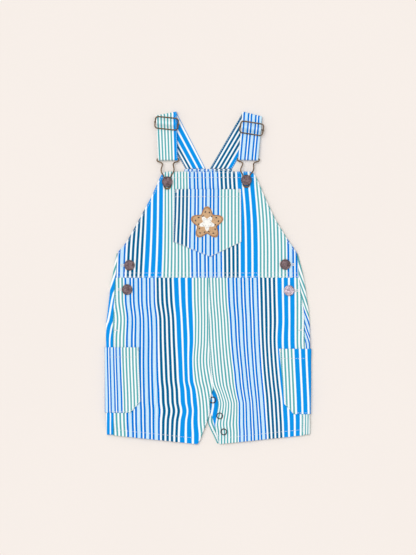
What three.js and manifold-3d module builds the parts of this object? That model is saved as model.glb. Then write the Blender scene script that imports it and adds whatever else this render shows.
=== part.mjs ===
// Child's short dungarees, laid flat on their back. Millimetres, +Z up, +Y towards the straps.
// Left and right are as seen from above, so left is -X. The cloth lies in two layers, with a fold at each side.

import * as THREE from 'three';
import { mergeVertices } from 'three/addons/utils/BufferGeometryUtils.js';
import Module from 'manifold-3d';

const wasm = await Module();
wasm.setup();

// Cloth and its layers
const CLOTH = 1.2;            // thickness of one layer, turned edges included
const SEAM = 0.3;             // space between pieces at a seam, and between a piece and what it lies on
const HOLLOW = 1.8;           // space between the back and the front of the garment
const BACK_Z = CLOTH / 2;     // middle of the layer on the ground
const FRONT_Z = BACK_Z + CLOTH + HOLLOW;
const ON_TOP = CLOTH + SEAM;  // from the middle of one layer to the middle of the next one on it

// Seams across the garment
const WAIST_Y = 0.5;
const SIDE_OPENING_Y = 35;    // foot of the armhole, where the back starts to wrap round to the front
const BIB_TOP_Y = 149;
const BACK_TOP_Y = 152.6;
const HEM_INNER_Y = -232.8;
const HEM_SIDE_Y = -220.4;

// Straps and their hardware
const STRAP = 1.2;            // two layers of thin cloth, pressed
const WIRE = 0.85;            // radius of the wire of hooks and adjusters
const BAR = 0.7;              // radius of the adjuster's middle bar
const BUTTON_R = 7.4;
const SNAP_R = 4.05;
const SNAP_WIRE = 0.65;

const COLOURS = {
  stripe: { color: 0x8fc9e6, roughness: 0.9, metalness: 0 },
  patch: { color: 0xcda57c, roughness: 0.95, metalness: 0 },
  brass: { color: 0x7a6450, roughness: 0.45, metalness: 0.8 },
};

// Width of the bib at each height
const FRONT_BIB = [
  { y: WAIST_Y, left: -129.0, right: 127.2 },
  { y: 12, left: -128.2, right: 126.5 },
  { y: 24, left: -127.1, right: 125.3 },
  { y: SIDE_OPENING_Y, left: -126.2, right: 124.1 },
  { y: 43, left: -120.0, right: 119.2 },
  { y: 51, left: -113.9, right: 113.5 },
  { y: 62, left: -107.4, right: 106.6 },
  { y: 74, left: -100.8, right: 99.0 },
  { y: 86, left: -94.2, right: 92.5 },
  { y: 99, left: -87.2, right: 86.2 },
  { y: 112, left: -80.2, right: 80.2 },
  { y: 124, left: -74.6, right: 75.0 },
  { y: 135, left: -69.8, right: 70.2 },
  { y: 143, left: -66.0, right: 66.3 },
  { y: 147, left: -63.0, right: 63.2 },
  { y: BIB_TOP_Y, left: -58.5, right: 58.5 },
];

// The back above the side openings, hidden by the front but for its top edge
const BACK_BIB = [
  { y: SIDE_OPENING_Y, left: -125.2, right: 123.0 },
  { y: 47, left: -110.0, right: 108.5 },
  { y: 62, left: -93.0, right: 93.0 },
  { y: 85, left: -72.0, right: 73.0 },
  { y: 108, left: -55.0, right: 56.0 },
  { y: 132, left: -40.5, right: 42.0 },
  { y: 146, left: -34.0, right: 36.0 },
  { y: BACK_TOP_Y, left: -32.5, right: 34.4 },
];

// Where the front panel ends and where the cloth folds round to the back, at the side of each leg
const SIDES = [
  { y: 35, seamLeft: -126.2, foldLeft: -127.7, seamRight: 124.1, foldRight: 125.6 },
  { y: 24, seamLeft: -127.1, foldLeft: -130.1, seamRight: 125.3, foldRight: 128.5 },
  { y: 12, seamLeft: -128.2, foldLeft: -132.5, seamRight: 126.5, foldRight: 131.6 },
  { y: 0.5, seamLeft: -129.2, foldLeft: -134.2, seamRight: 127.3, foldRight: 134.0 },
  { y: -11, seamLeft: -130.3, foldLeft: -136.7, seamRight: 128.7, foldRight: 136.2 },
  { y: -28, seamLeft: -131.2, foldLeft: -138.4, seamRight: 131.4, foldRight: 138.6 },
  { y: -51, seamLeft: -132.4, foldLeft: -141.1, seamRight: 134.2, foldRight: 141.7 },
  { y: -70, seamLeft: -133.0, foldLeft: -143.1, seamRight: 134.9, foldRight: 142.8 },
  { y: -98, seamLeft: -132.6, foldLeft: -143.1, seamRight: 135.2, foldRight: 143.1 },
  { y: -140, seamLeft: -132.2, foldLeft: -143.1, seamRight: 135.0, foldRight: 143.1 },
  { y: -188, seamLeft: -132.0, foldLeft: -143.0, seamRight: 134.6, foldRight: 142.3 },
  { y: -204, seamLeft: -132.2, foldLeft: -142.6, seamRight: 134.5, foldRight: 142.9 },
  { y: -221, seamLeft: -132.4, foldLeft: -141.8, seamRight: 134.4, foldRight: 143.2 },
];

// Inner edge of each leg panel: the centre seam down to the crotch, then the open inseam.
// The legs spread from the crotch, and the right one shows its placket between the edges.
// A row of each leg's points starts at each of these heights.
const INNER = [
  { y: 0.5, frontLeft: 1.3, frontRight: 1.3, backLeft: 1.3, backRight: 1.3 },
  { y: -14, frontLeft: 1.2, frontRight: 1.2, backLeft: 1.2, backRight: 1.2 },
  { y: -29, frontLeft: 1.2, frontRight: 1.2, backLeft: 1.2, backRight: 1.2 },
  { y: -44, frontLeft: 1.2, frontRight: 1.2, backLeft: 1.2, backRight: 1.2 },
  { y: -60, frontLeft: 1.2, frontRight: 1.2, backLeft: 1.2, backRight: 1.2 },
  { y: -76, frontLeft: 1.4, frontRight: 1.4, backLeft: 1.4, backRight: 1.4 },
  { y: -92, frontLeft: 1.7, frontRight: 1.7, backLeft: 1.7, backRight: 1.7 },
  { y: -108, frontLeft: 2.3, frontRight: 2.3, backLeft: 2.3, backRight: 2.3 },
  { y: -124, frontLeft: 3.3, frontRight: 3.3, backLeft: 3.3, backRight: 3.3 },
  { y: -140, frontLeft: 4.9, frontRight: 4.9, backLeft: 4.9, backRight: 4.9 },
  { y: -154.6, frontLeft: 7.0, frontRight: 7.1, backLeft: 6.6, backRight: 7.0 },
  { y: -164.6, frontLeft: 4.2, frontRight: 12.0, backLeft: 2.0, backRight: 4.6 },
  { y: -174.5, frontLeft: 3.2, frontRight: 14.0, backLeft: -0.8, backRight: 1.8 },
  { y: -187, frontLeft: 2.6, frontRight: 12.9, backLeft: -2.4, backRight: 0.4 },
  { y: -200, frontLeft: -0.8, frontRight: 11.2, backLeft: -4.4, backRight: -0.8 },
  { y: -210, frontLeft: -4.6, frontRight: 9.9, backLeft: -7.4, backRight: 2.5 },
  { y: -219, frontLeft: -8.1, frontRight: 12.3, backLeft: -10.8, backRight: 6.9 },
  { y: -227, frontLeft: -11.0, frontRight: 14.4, backLeft: -13.8, backRight: 10.6 },
  { y: -232.8, frontLeft: -15.0, frontRight: 15.6, backLeft: -17.0, backRight: 13.2 },
];

// Strip under the snaps of the right leg's inseam
const PLACKET = [
  { y: -150, left: -1.0, right: 13.0 },
  { y: -165, left: -2.5, right: 21.0 },
  { y: -178, left: -1.5, right: 22.0 },
  { y: -187, left: 2.0, right: 21.0 },
  { y: -194, left: 5.6, right: 19.5 },
  { y: -202, left: 8.0, right: 17.0 },
  { y: -210, left: 9.6, right: 13.5 },
];

// Soft folds of the front: the line each follows, how far it spreads and how high it stands
const FOLDS = [
  { name: 'right inner thigh', line: [[10, -100], [20, -144], [29, -180], [25, -216]], spread: 12, height: 1.1 },
  { name: 'left inner thigh', line: [[-24, -92], [-19, -165]], spread: 13, height: 1.0 },
  { name: 'edge over the top snap', line: [[3, -168], [3, -175]], spread: 14, height: 1.5 },
  { name: 'left thigh hollow', line: [[-47, -60], [-42, -150]], spread: 17, height: -0.6 },
  { name: 'left leg', line: [[-85, -36], [-79, -160]], spread: 20, height: 0.8 },
  { name: 'right leg', line: [[73, -30], [66, -170]], spread: 19, height: 0.9 },
  { name: 'left hip', line: [[-129, -72], [-108, -61]], spread: 12, height: 0.6 },
  { name: 'right hip', line: [[128, -70], [106, -58]], spread: 12, height: 0.6 },
  { name: 'waist seam', line: [[-124, 1], [122, 1]], spread: 11, height: 0.4 },
  { name: 'left of bib', line: [[-94, 60], [-60, 20]], spread: 18, height: 0.7 },
  { name: 'right of bib', line: [[92, 62], [62, 22]], spread: 18, height: 0.7 },
];

const BIB_POCKET = {
  topY: 124.2, topLeft: -46.8, topRight: 45.9,
  cornerY: 50.6, cornerLeft: -48.4, cornerRight: 46.9,
  tipX: 3.1, tipY: 29.7,
};

// Patch pockets that sit across the side folds, half on the front and half on the back.
// inner is the distance from the garment's centre line to the pocket's edge.
const SIDE_POCKETS = {
  left: [
    { y: -97, inner: 96.6 },
    { y: -112, inner: 96.4 },
    { y: -128, inner: 96.0 },
    { y: -144, inner: 95.5 },
    { y: -160, inner: 95.0 },
    { y: -173, inner: 94.6 },
    { y: -188.4, inner: 108.4 },
  ],
  right: [
    { y: -99, inner: 99.4 },
    { y: -113, inner: 100.8 },
    { y: -129, inner: 102.4 },
    { y: -145, inner: 104.0 },
    { y: -161, inner: 105.4 },
    { y: -176, inner: 106.6 },
    { y: -190.4, inner: 119.8 },
  ],
};
// The legs are lifted where the back halves of those pockets lie under them.
const LIFT = { rampInner: 76, fullInner: 91, rampTop: -73, fullTop: -87, fullBottom: -200, rampBottom: -216 };

const STAR = { x: -1.3, y: 76.7, radius: 19.2, lobe: 4.4, arms: 5, thickness: 1.5 };

const BIB_BUTTONS = [
  { side: 'left', x: -57.0, y: 134.7 },
  { side: 'right', x: 53.6, y: 137.0 },
];
const SIDE_BUTTONS = [
  { name: 'side_button_upper_left', x: -109.9, y: 17.8 },
  { name: 'side_button_upper_right', x: 108.1, y: 18.9 },
  { name: 'side_button_lower_left', x: -113.1, y: -16.1 },
  { name: 'side_button_lower_right', x: 113.4, y: -17.6 },
];

const SNAP_RINGS = [
  { x: 6.6, y: -170.8, onPlacket: true },
  { x: 16.3, y: -192.9, onPlacket: false },
  { x: 22.0, y: -215.2, onPlacket: false },
];

// Each strap leaves the back's top edge, folds over at the shoulder and comes down to its hook.
// Every line across the strap has its left and its right end.
const STRAPS = [
  {
    side: 'left',
    backEnd: { left: [-31.6, 153.0], right: [-3.4, 153.0] },
    fold: { left: [-72.7, 227.6], right: [-44.2, 233.2] },
    hookEnd: { left: [-69.8, 164.4], right: [-42.4, 164.6] },
    adjuster: { x: -57.9, y: 216.5, tilt: -6 },
  },
  {
    side: 'right',
    backEnd: { left: [2.4, 153.0], right: [33.6, 153.0] },
    fold: { left: [48.4, 233.2], right: [75.8, 226.4] },
    hookEnd: { left: [42.5, 165.0], right: [70.3, 164.4] },
    adjuster: { x: 61.1, y: 209.4, tilt: -9 },
  },
];
const FOLD_RADIUS = 1.9;       // middle of the strap where it turns at the shoulder
const BAR_CLEARANCE = 0.15;
const RAIL_CLEARANCE = 0.25;
const HOOK_TURN = WIRE + SEAM + STRAP / 2;
const BAR_TURN = BAR + BAR_CLEARANCE + STRAP / 2;
const RAIL = 8.2;              // from the adjuster's middle bar to each long wire
const HUMP = 6.4;              // how far to each side of the bar the strap rises to pass over it
const RISE_TO_BAR = 4;         // where the strap's end, back under its front, is halfway up to the bar
const STRAP_BACK_Z = STRAP / 2;
const STRAP_FRONT_Z = STRAP_BACK_Z + 2 * FOLD_RADIUS;
const STRAP_RETURN_Z = STRAP_BACK_Z + STRAP + SEAM;
const BAR_Z = 5.2;
const OVER_BAR_Z = 8.2;
const RAIL_Z = STRAP_FRONT_Z + STRAP / 2 + RAIL_CLEARANCE + WIRE;
const HOOK_BAR_Z = STRAP_RETURN_Z + HOOK_TURN;
const HOOK_ON_BIB_Z = FRONT_Z + CLOTH / 2 + SEAM + WIRE;

const HOOK_LENGTH = 41;
const SLOT_BELOW_BUTTON = 9.7; // from the bib button's middle to the bottom of the hook's slot
// Shares of a hook's length within which it drifts sideways to its button and rises onto the bib
const HOOK_DRIFT = { from: 0.1, to: 0.6 };
const HOOK_RISE = { from: 0.06, to: 0.3 };
// Half of a hook's wire, from the middle of its top bar round to the bottom of its slot
const HOOK_WIRE = [
  { across: 8, down: 0 },
  { across: 14.3, down: 0 },
  { across: 15.4, down: 1.7 },
  { across: 13.6, down: 3.7 },
  { across: 9.4, down: 5.2 },
  { across: 7.6, down: 7.2 },
  { across: 8.2, down: 10.8 },
  { across: 9.0, down: 14.8 },
  { across: 8.2, down: 18.6 },
  { across: 5.6, down: 22.6 },
  { across: 4.6, down: 27 },
  { across: 4.9, down: 32 },
  { across: 4.8, down: 36.6 },
  { across: 3.2, down: 40 },
];

// Tack button: its post, the heights within its head above the clear height under it, and its dished middle
const BUTTON_POST_R = 2.4;
const BUTTON_HEAD = { under: 0.1, edge: 0.8, rim: 1.7, dish: 1.4, crown: 1.6 };
const BUTTON_RINGS = { underR: 6.8, shoulderR: 7.1, rimR: 6.0, dishR: 5.4 };
const BIB_BUTTON_POST = 2.5;   // clear height under the head, where the hook's wire passes
const SIDE_BUTTON_POST = 0.8;

const ADJUSTER_HALF = 16.2;    // from the adjuster's middle to its short wires
const ADJUSTER_CORNER = 4;
const BAR_END = 1.7;           // how far the bar stands out past each short wire

const lerp = (a, b, t) => a + (b - a) * t;
const clamp01 = (t) => Math.min(1, Math.max(0, t));

function smoothstep(from, to, value) {
  const t = clamp01((value - from) / (to - from));
  return t * t * (3 - 2 * t);
}

// Value of a table's column between its rows, which run from the top of the garment down or up
function at(table, column, y) {
  const rows = table[0].y > table[1].y ? table : [...table].reverse();
  const next = rows.findIndex((row) => row.y <= y);
  if (next <= 0) {
    return rows[next === 0 ? 0 : rows.length - 1][column];
  }
  const above = rows[next - 1];
  const below = rows[next];
  return lerp(above[column], below[column], (above.y - y) / (above.y - below.y));
}

function distanceToLine(x, y, line) {
  let nearest = Infinity;
  for (let i = 1; i < line.length; i += 1) {
    const [x1, y1] = line[i - 1];
    const [x2, y2] = line[i];
    const length2 = (x2 - x1) ** 2 + (y2 - y1) ** 2;
    const t = clamp01(((x - x1) * (x2 - x1) + (y - y1) * (y2 - y1)) / length2);
    nearest = Math.min(nearest, Math.hypot(x - lerp(x1, x2, t), y - lerp(y1, y2, t)));
  }
  return nearest;
}

function foldHeight(x, y) {
  const heights = FOLDS.map(({ line, spread, height }) => {
    const share = distanceToLine(x, y, line) / spread;
    return height * Math.exp(-(share ** 2));
  });
  return heights.reduce((sum, height) => sum + height, 0);
}

function lift(x, y) {
  const across = smoothstep(LIFT.rampInner, LIFT.fullInner, Math.abs(x));
  const upper = smoothstep(LIFT.rampTop, LIFT.fullTop, y);
  const lower = 1 - smoothstep(LIFT.fullBottom, LIFT.rampBottom, y);
  return ON_TOP * across * upper * lower;
}

const backHeight = (x, y) => BACK_Z + lift(x, y);
const frontHeight = (x, y) => FRONT_Z + lift(x, y) + foldHeight(x, y);

// Closed wall of cloth about a grid of middle points
function wall(grid, thickness) {
  const rows = grid.length;
  const columns = grid[0].length;
  const kept = (i, count) => Math.min(count - 1, Math.max(0, i));
  const point = (r, c) => grid[kept(r, rows)][kept(c, columns)];
  const vertices = [];
  for (const face of [1, -1]) {
    for (let r = 0; r < rows; r += 1) {
      for (let c = 0; c < columns; c += 1) {
        const along = point(r + 1, c).clone().sub(point(r - 1, c));
        const across = point(r, c + 1).clone().sub(point(r, c - 1));
        const normal = new THREE.Vector3().crossVectors(across, along).normalize();
        vertices.push(grid[r][c].clone().addScaledVector(normal, (face * thickness) / 2));
      }
    }
  }
  const index = [];
  const quad = (a, b, c, d) => index.push(a, b, c, a, c, d);
  const outer = (r, c) => r * columns + c;
  const inner = (r, c) => rows * columns + r * columns + c;
  for (let r = 0; r < rows - 1; r += 1) {
    for (let c = 0; c < columns - 1; c += 1) {
      quad(outer(r, c), outer(r, c + 1), outer(r + 1, c + 1), outer(r + 1, c));
      quad(inner(r, c), inner(r + 1, c), inner(r + 1, c + 1), inner(r, c + 1));
    }
    quad(outer(r, 0), outer(r + 1, 0), inner(r + 1, 0), inner(r, 0));
    quad(outer(r + 1, columns - 1), outer(r, columns - 1), inner(r, columns - 1), inner(r + 1, columns - 1));
  }
  for (let c = 0; c < columns - 1; c += 1) {
    quad(outer(0, c + 1), outer(0, c), inner(0, c), inner(0, c + 1));
    quad(outer(rows - 1, c), outer(rows - 1, c + 1), inner(rows - 1, c + 1), inner(rows - 1, c));
  }
  return facingOut(vertices, index);
}

// Geometry whose faces point out, whichever way its points were listed
function facingOut(vertices, index) {
  let volume = 0;
  for (let i = 0; i < index.length; i += 3) {
    const [a, b, c] = [vertices[index[i]], vertices[index[i + 1]], vertices[index[i + 2]]];
    volume += a.dot(new THREE.Vector3().crossVectors(b, c));
  }
  if (volume < 0) {
    index.reverse();
  }
  const coordinates = vertices.flatMap((v) => [v.x, v.y, v.z]);
  const geometry = new THREE.BufferGeometry();
  geometry.setAttribute('position', new THREE.Float32BufferAttribute(coordinates, 3));
  geometry.setIndex(index);
  geometry.computeVertexNormals();
  return geometry;
}

// Tube along a closed loop of points that lies nearly flat
function wireLoop(points, radius, sides) {
  const count = points.length;
  const vertices = [];
  const index = [];
  const up = new THREE.Vector3(0, 0, 1);
  for (let i = 0; i < count; i += 1) {
    const tangent = points[(i + 1) % count].clone().sub(points[(i + count - 1) % count]).normalize();
    const side = new THREE.Vector3().crossVectors(up, tangent).normalize();
    const top = new THREE.Vector3().crossVectors(tangent, side);
    for (let k = 0; k < sides; k += 1) {
      const angle = ((k + 0.5) / sides) * 2 * Math.PI;
      vertices.push(points[i].clone()
        .addScaledVector(side, radius * Math.cos(angle))
        .addScaledVector(top, radius * Math.sin(angle)));
      const a = i * sides + k;
      const b = i * sides + ((k + 1) % sides);
      const c = ((i + 1) % count) * sides + ((k + 1) % sides);
      const d = ((i + 1) % count) * sides + k;
      index.push(a, b, c, a, c, d);
    }
  }
  return facingOut(vertices, index);
}

function toManifold(geometry) {
  const bare = geometry.clone();
  bare.deleteAttribute('normal');
  bare.deleteAttribute('uv');
  const merged = mergeVertices(bare);
  return new wasm.Manifold(new wasm.Mesh({
    numProp: 3,
    vertProperties: new Float32Array(merged.attributes.position.array),
    triVerts: new Uint32Array(merged.index.array),
  }));
}

function fromManifold(solid) {
  const { vertProperties, triVerts } = solid.getMesh();
  const geometry = new THREE.BufferGeometry();
  geometry.setAttribute('position', new THREE.Float32BufferAttribute(vertProperties, 3));
  geometry.setIndex(Array.from(triVerts));
  geometry.computeVertexNormals();
  return geometry;
}

const dungarees = new THREE.Group();

function add(name, geometry, material) {
  const mesh = new THREE.Mesh(geometry, new THREE.MeshStandardMaterial(COLOURS[material]));
  mesh.name = name;
  dungarees.add(mesh);
  return mesh;
}

function rowBetween(left, right, y, shares, height) {
  return shares.map((share) => {
    const x = lerp(left, right, share);
    return new THREE.Vector3(x, y, height(x, y));
  });
}

const evenShares = (count) => Array.from({ length: count + 1 }, (_, i) => i / count);

// Front bib, cut in one from the waist seam to the top edge
function frontBib() {
  const grid = FRONT_BIB.map((row) => {
    const y = row.y === WAIST_Y ? WAIST_Y + SEAM / 2 : row.y;
    return rowBetween(row.left, row.right, y, evenShares(12), frontHeight);
  });
  add('front_bib', wall(grid, CLOTH), 'stripe');
}

function backBib() {
  const grid = BACK_BIB.map((row) => {
    const y = row.y === SIDE_OPENING_Y ? SIDE_OPENING_Y + SEAM / 2 : row.y;
    return rowBetween(row.left, row.right, y, evenShares(8), backHeight);
  });
  add('back_bib', wall(grid, CLOTH), 'stripe');
}

const capital = (side) => side[0].toUpperCase() + side.slice(1);

const INSIDE_FOLD = 2;         // how far inside a side's fold the heights of its two layers are taken

// Near the side opening the back's edge hasn't reached the front yet. The turn is whole once it wraps
// over by WRAP_WHOLE, and starts at the angle WRAP_START where it stays back by WRAP_NONE.
const WRAP_WHOLE = 0.4;
const WRAP_NONE = -0.6;
const WRAP_START = 0.2;
const WRAP_LEAST = 0.3;        // least width of the strip past the turn
const WRAP_RISE = 0.2;

// The hem slopes, so each row of a leg runs from its height at the inseam to a lesser one at the side.
function sideHeightOf(y) {
  return y > 0 ? y : y * (HEM_SIDE_Y / HEM_INNER_Y);
}

function legRowPoint(inner, outerX, x) {
  const share = (x - inner.x) / (outerX - inner.x);
  return lerp(inner.y, sideHeightOf(inner.y), share);
}

function frontLeg(side) {
  const sign = side === 'left' ? -1 : 1;
  const grid = INNER.map((row, i) => {
    const y = i === 0 ? WAIST_Y - SEAM / 2 : row.y;
    const innerX = row[`front${capital(side)}`] + (sign * SEAM) / 2;
    const seamX = at(SIDES, `seam${capital(side)}`, sideHeightOf(y)) - (sign * SEAM) / 2;
    const bend = [LIFT.rampInner, LIFT.fullInner].map((x) => sign * x);
    const columns = [
      ...evenShares(5).map((share) => lerp(innerX, bend[0], share)),
      ...evenShares(3).map((share) => lerp(bend[1], seamX, share)),
    ];
    return columns.map((x) => {
      const rowY = legRowPoint({ x: innerX, y }, seamX, x);
      return new THREE.Vector3(x, rowY, frontHeight(x, rowY));
    });
  });
  add(`front_leg_${side}`, wall(grid, CLOTH), 'stripe');
}

// Half-round turn of the tube at a side: where its middle is and how wide it turns
function sideTurn(side, y) {
  const sign = side === 'left' ? -1 : 1;
  const foldX = at(SIDES, `fold${capital(side)}`, y);
  const insideX = foldX - sign * INSIDE_FOLD;
  const high = frontHeight(insideX, y);
  const low = backHeight(insideX, y);
  const radius = (high - low) / 2;
  return { sign, radius, x: foldX - sign * (radius + CLOTH / 2), z: (high + low) / 2 };
}

function turnPoint(turn, y, angle, out) {
  return new THREE.Vector3(
    turn.x + turn.sign * (turn.radius + out) * Math.cos(angle),
    y,
    turn.z + (turn.radius + out) * Math.sin(angle),
  );
}

// Back of a leg: from the centre seam along the ground to the side, round the fold and over to the seam
function backLeg(side) {
  const aboveWaist = [{ y: SIDE_OPENING_Y - SEAM / 2 }, { y: 24 }, { y: 12 }];
  const waist = INNER[0];
  const upper = aboveWaist.map(({ y }) => ({ ...waist, y }));
  const grid = [...upper, ...INNER].map((row) => {
    const y = Math.max(row.y, HEM_INNER_Y + 1);
    const sideY = sideHeightOf(y);
    const turn = sideTurn(side, sideY);
    const innerX = row[`back${capital(side)}`] + (turn.sign * SEAM) / 2;
    const seamX = at(SIDES, `seam${capital(side)}`, sideY) + (turn.sign * SEAM) / 2;
    const bend = [LIFT.rampInner, LIFT.fullInner].map((x) => turn.sign * x);
    const ground = [
      ...evenShares(4).map((share) => lerp(innerX, bend[0], share)),
      ...evenShares(2).map((share) => lerp(bend[1], turn.x, share)),
    ];
    const points = ground.map((x) => {
      const rowY = legRowPoint({ x: innerX, y }, turn.x, x);
      return new THREE.Vector3(x, rowY, backHeight(x, rowY));
    });
    const wrapped = turn.sign * (turn.x - seamX);
    const whole = clamp01((wrapped - WRAP_NONE) / (WRAP_WHOLE - WRAP_NONE));
    const lastAngle = lerp(WRAP_START, Math.PI / 2, whole);
    for (const share of evenShares(5).slice(1)) {
      points.push(turnPoint(turn, sideY, lerp(-Math.PI / 2, lastAngle, share), 0));
    }
    const end = points[points.length - 1];
    for (const share of evenShares(2).slice(1)) {
      const x = end.x - turn.sign * Math.max(wrapped, WRAP_LEAST * share) * share;
      const z = whole === 1 ? frontHeight(x, sideY) : end.z + WRAP_RISE * share;
      points.push(new THREE.Vector3(x, sideY, z));
    }
    return points;
  });
  add(`back_leg_${side}`, wall(grid, CLOTH), 'stripe');
}

function placket() {
  const height = () => BACK_Z + ON_TOP;
  const grid = PLACKET.map((row) => rowBetween(row.left, row.right, row.y, evenShares(3), height));
  add('crotch_placket', wall(grid, CLOTH), 'stripe');
}

function bibPocketPoint(share, down) {
  const { topY, topLeft, topRight, cornerY, cornerLeft, cornerRight, tipX, tipY } = BIB_POCKET;
  const footX = lerp(cornerLeft, cornerRight, share);
  const footY = footX < tipX
    ? lerp(cornerY, tipY, (footX - cornerLeft) / (tipX - cornerLeft))
    : lerp(tipY, cornerY, (footX - tipX) / (cornerRight - tipX));
  const x = lerp(lerp(topLeft, topRight, share), footX, down);
  const y = lerp(topY, footY, down);
  return [x, y];
}

function bibPocket() {
  const { cornerLeft, cornerRight, tipX } = BIB_POCKET;
  const tipShare = (tipX - cornerLeft) / (cornerRight - cornerLeft);
  const shares = [
    ...evenShares(4).map((share) => share * tipShare),
    ...evenShares(4).slice(1).map((share) => lerp(tipShare, 1, share)),
  ];
  const grid = evenShares(7).map((down) => shares.map((share) => {
    const [x, y] = bibPocketPoint(share, down);
    return new THREE.Vector3(x, y, frontHeight(x, y) + ON_TOP);
  }));
  add('bib_pocket', wall(grid, CLOTH), 'stripe');
}

function sidePocket(side) {
  const grid = SIDE_POCKETS[side].map(({ y, inner }) => {
    const turn = sideTurn(side, y);
    const columns = evenShares(4).map((share) => lerp(turn.sign * inner, turn.x, share));
    const front = columns.map((x) => new THREE.Vector3(x, y, frontHeight(x, y) + ON_TOP));
    const turned = evenShares(6).slice(1, -1)
      .map((share) => turnPoint(turn, y, lerp(Math.PI / 2, -Math.PI / 2, share), ON_TOP));
    const back = columns.reverse().map((x) => new THREE.Vector3(x, y, backHeight(x, y) - ON_TOP));
    return [...front, ...turned, ...back];
  });
  add(`side_pocket_${side}`, wall(grid, CLOTH), 'stripe');
}

// Soft-armed star that lies on the bib pocket
function starPatch() {
  const points = 40;
  const base = (x, y) => frontHeight(x, y) + ON_TOP + CLOTH / 2 + SEAM;
  const vertices = [];
  const index = [];
  const rings = [0.5, 0.94, 1];
  const rim = { lower: 0, upper: [1, 1, 0.72] };
  for (const upper of [true, false]) {
    const start = vertices.length;
    vertices.push(new THREE.Vector3(STAR.x, STAR.y, base(STAR.x, STAR.y) + (upper ? STAR.thickness : 0)));
    rings.forEach((ring, r) => {
      for (let i = 0; i < points; i += 1) {
        const angle = (i / points) * 2 * Math.PI;
        const reach = ring * (STAR.radius + STAR.lobe * Math.cos(STAR.arms * (angle - Math.PI / 2)));
        const x = STAR.x + reach * Math.cos(angle);
        const y = STAR.y + reach * Math.sin(angle);
        const height = STAR.thickness * (upper ? rim.upper[r] : rim.lower);
        vertices.push(new THREE.Vector3(x, y, base(x, y) + height));
      }
    });
    for (let i = 0; i < points; i += 1) {
      const j = (i + 1) % points;
      const order = (a, b, c) => (upper ? index.push(a, b, c) : index.push(a, c, b));
      order(start, start + 1 + i, start + 1 + j);
      for (let r = 0; r < rings.length - 1; r += 1) {
        const near = start + 1 + r * points;
        const far = near + points;
        order(near + i, far + i, far + j);
        order(near + i, far + j, near + j);
      }
    }
  }
  const perSide = 1 + rings.length * points;
  const edge = 1 + (rings.length - 1) * points;
  for (let i = 0; i < points; i += 1) {
    const j = (i + 1) % points;
    const [a, b, c, d] = [edge + i, edge + j, perSide + edge + j, perSide + edge + i];
    index.push(a, d, c, a, c, b);
  }
  add('star_patch', facingOut(vertices, index), 'patch');
}

function crossing(point, direction, from, to) {
  const [px, py] = point;
  const [dx, dy] = direction;
  const ex = to[0] - from[0];
  const ey = to[1] - from[1];
  const t = (dx * (from[1] - py) - dy * (from[0] - px)) / (dy * ex - dx * ey);
  return [from[0] + ex * t, from[1] + ey * t];
}

const mixPoint = (a, b, t) => [lerp(a[0], b[0], t), lerp(a[1], b[1], t)];
const mixLine = (a, b, t) => ({ left: mixPoint(a.left, b.left, t), right: mixPoint(a.right, b.right, t) });

function movedLine(line, direction, distance) {
  const move = ([x, y]) => [x + direction[0] * distance, y + direction[1] * distance];
  return { left: move(line.left), right: move(line.right) };
}

function unit(from, to) {
  const length = Math.hypot(to[0] - from[0], to[1] - from[1]);
  return [(to[0] - from[0]) / length, (to[1] - from[1]) / length];
}

// Lines across a strap from the back's top edge to its end round the adjuster's bar, each with its height
function strapLines(strap) {
  const { fold, hookEnd, backEnd, adjuster } = strap;
  const lines = [];
  const push = (line, z) => lines.push({ ...line, z });
  const foldAlong = unit(fold.left, fold.right);
  const outward = [-foldAlong[1], foldAlong[0]];
  const axis = movedLine(fold, outward, -(FOLD_RADIUS + STRAP / 2));
  evenShares(6).forEach((share) => push(mixLine(backEnd, axis, share), STRAP_BACK_Z));
  for (const share of evenShares(6).slice(1)) {
    const angle = share * Math.PI;
    const line = movedLine(axis, outward, FOLD_RADIUS * Math.sin(angle));
    push(line, STRAP_BACK_Z + FOLD_RADIUS * (1 - Math.cos(angle)));
  }
  const tilt = THREE.MathUtils.degToRad(adjuster.tilt);
  const barAlong = [Math.cos(tilt), Math.sin(tilt)];
  const down = [Math.sin(tilt), -Math.cos(tilt)];
  const barLine = (distance) => {
    const middle = [adjuster.x + down[0] * distance, adjuster.y + down[1] * distance];
    return {
      left: crossing(middle, barAlong, fold.left, hookEnd.left),
      right: crossing(middle, barAlong, fold.right, hookEnd.right),
    };
  };
  const hump = (distance) => STRAP_FRONT_Z
    + (OVER_BAR_Z - STRAP_FRONT_Z) * Math.cos((Math.PI / 2) * clamp01(Math.abs(distance) / HUMP)) ** 2;
  for (const distance of [...evenShares(8).map((share) => lerp(-HUMP, HUMP, share)), RAIL]) {
    push(barLine(distance), hump(distance));
  }
  const hookAlong = unit(hookEnd.left, hookEnd.right);
  const hookDown = [hookAlong[1], -hookAlong[0]];
  const hookAxis = movedLine(hookEnd, hookDown, -(HOOK_TURN + STRAP / 2));
  const hookFrontZ = HOOK_BAR_Z + HOOK_TURN;
  const railLine = barLine(RAIL);
  for (const share of evenShares(4).slice(1)) {
    push(mixLine(railLine, hookAxis, share), lerp(STRAP_FRONT_Z, hookFrontZ, smoothstep(0, 1, share)));
  }
  for (const share of evenShares(6).slice(1)) {
    const angle = share * Math.PI;
    const line = movedLine(hookAxis, hookDown, HOOK_TURN * Math.sin(angle));
    push(line, HOOK_BAR_Z + HOOK_TURN * Math.cos(angle));
  }
  for (const share of evenShares(4).slice(1)) {
    push(mixLine(hookAxis, railLine, share), STRAP_RETURN_Z);
  }
  push(barLine(RISE_TO_BAR), lerp(STRAP_RETURN_Z, BAR_Z - BAR_TURN, 0.5));
  for (const share of evenShares(6)) {
    const angle = share * Math.PI;
    push(barLine(-BAR_TURN * Math.sin(angle)), BAR_Z - BAR_TURN * Math.cos(angle));
  }
  return lines;
}

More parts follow.
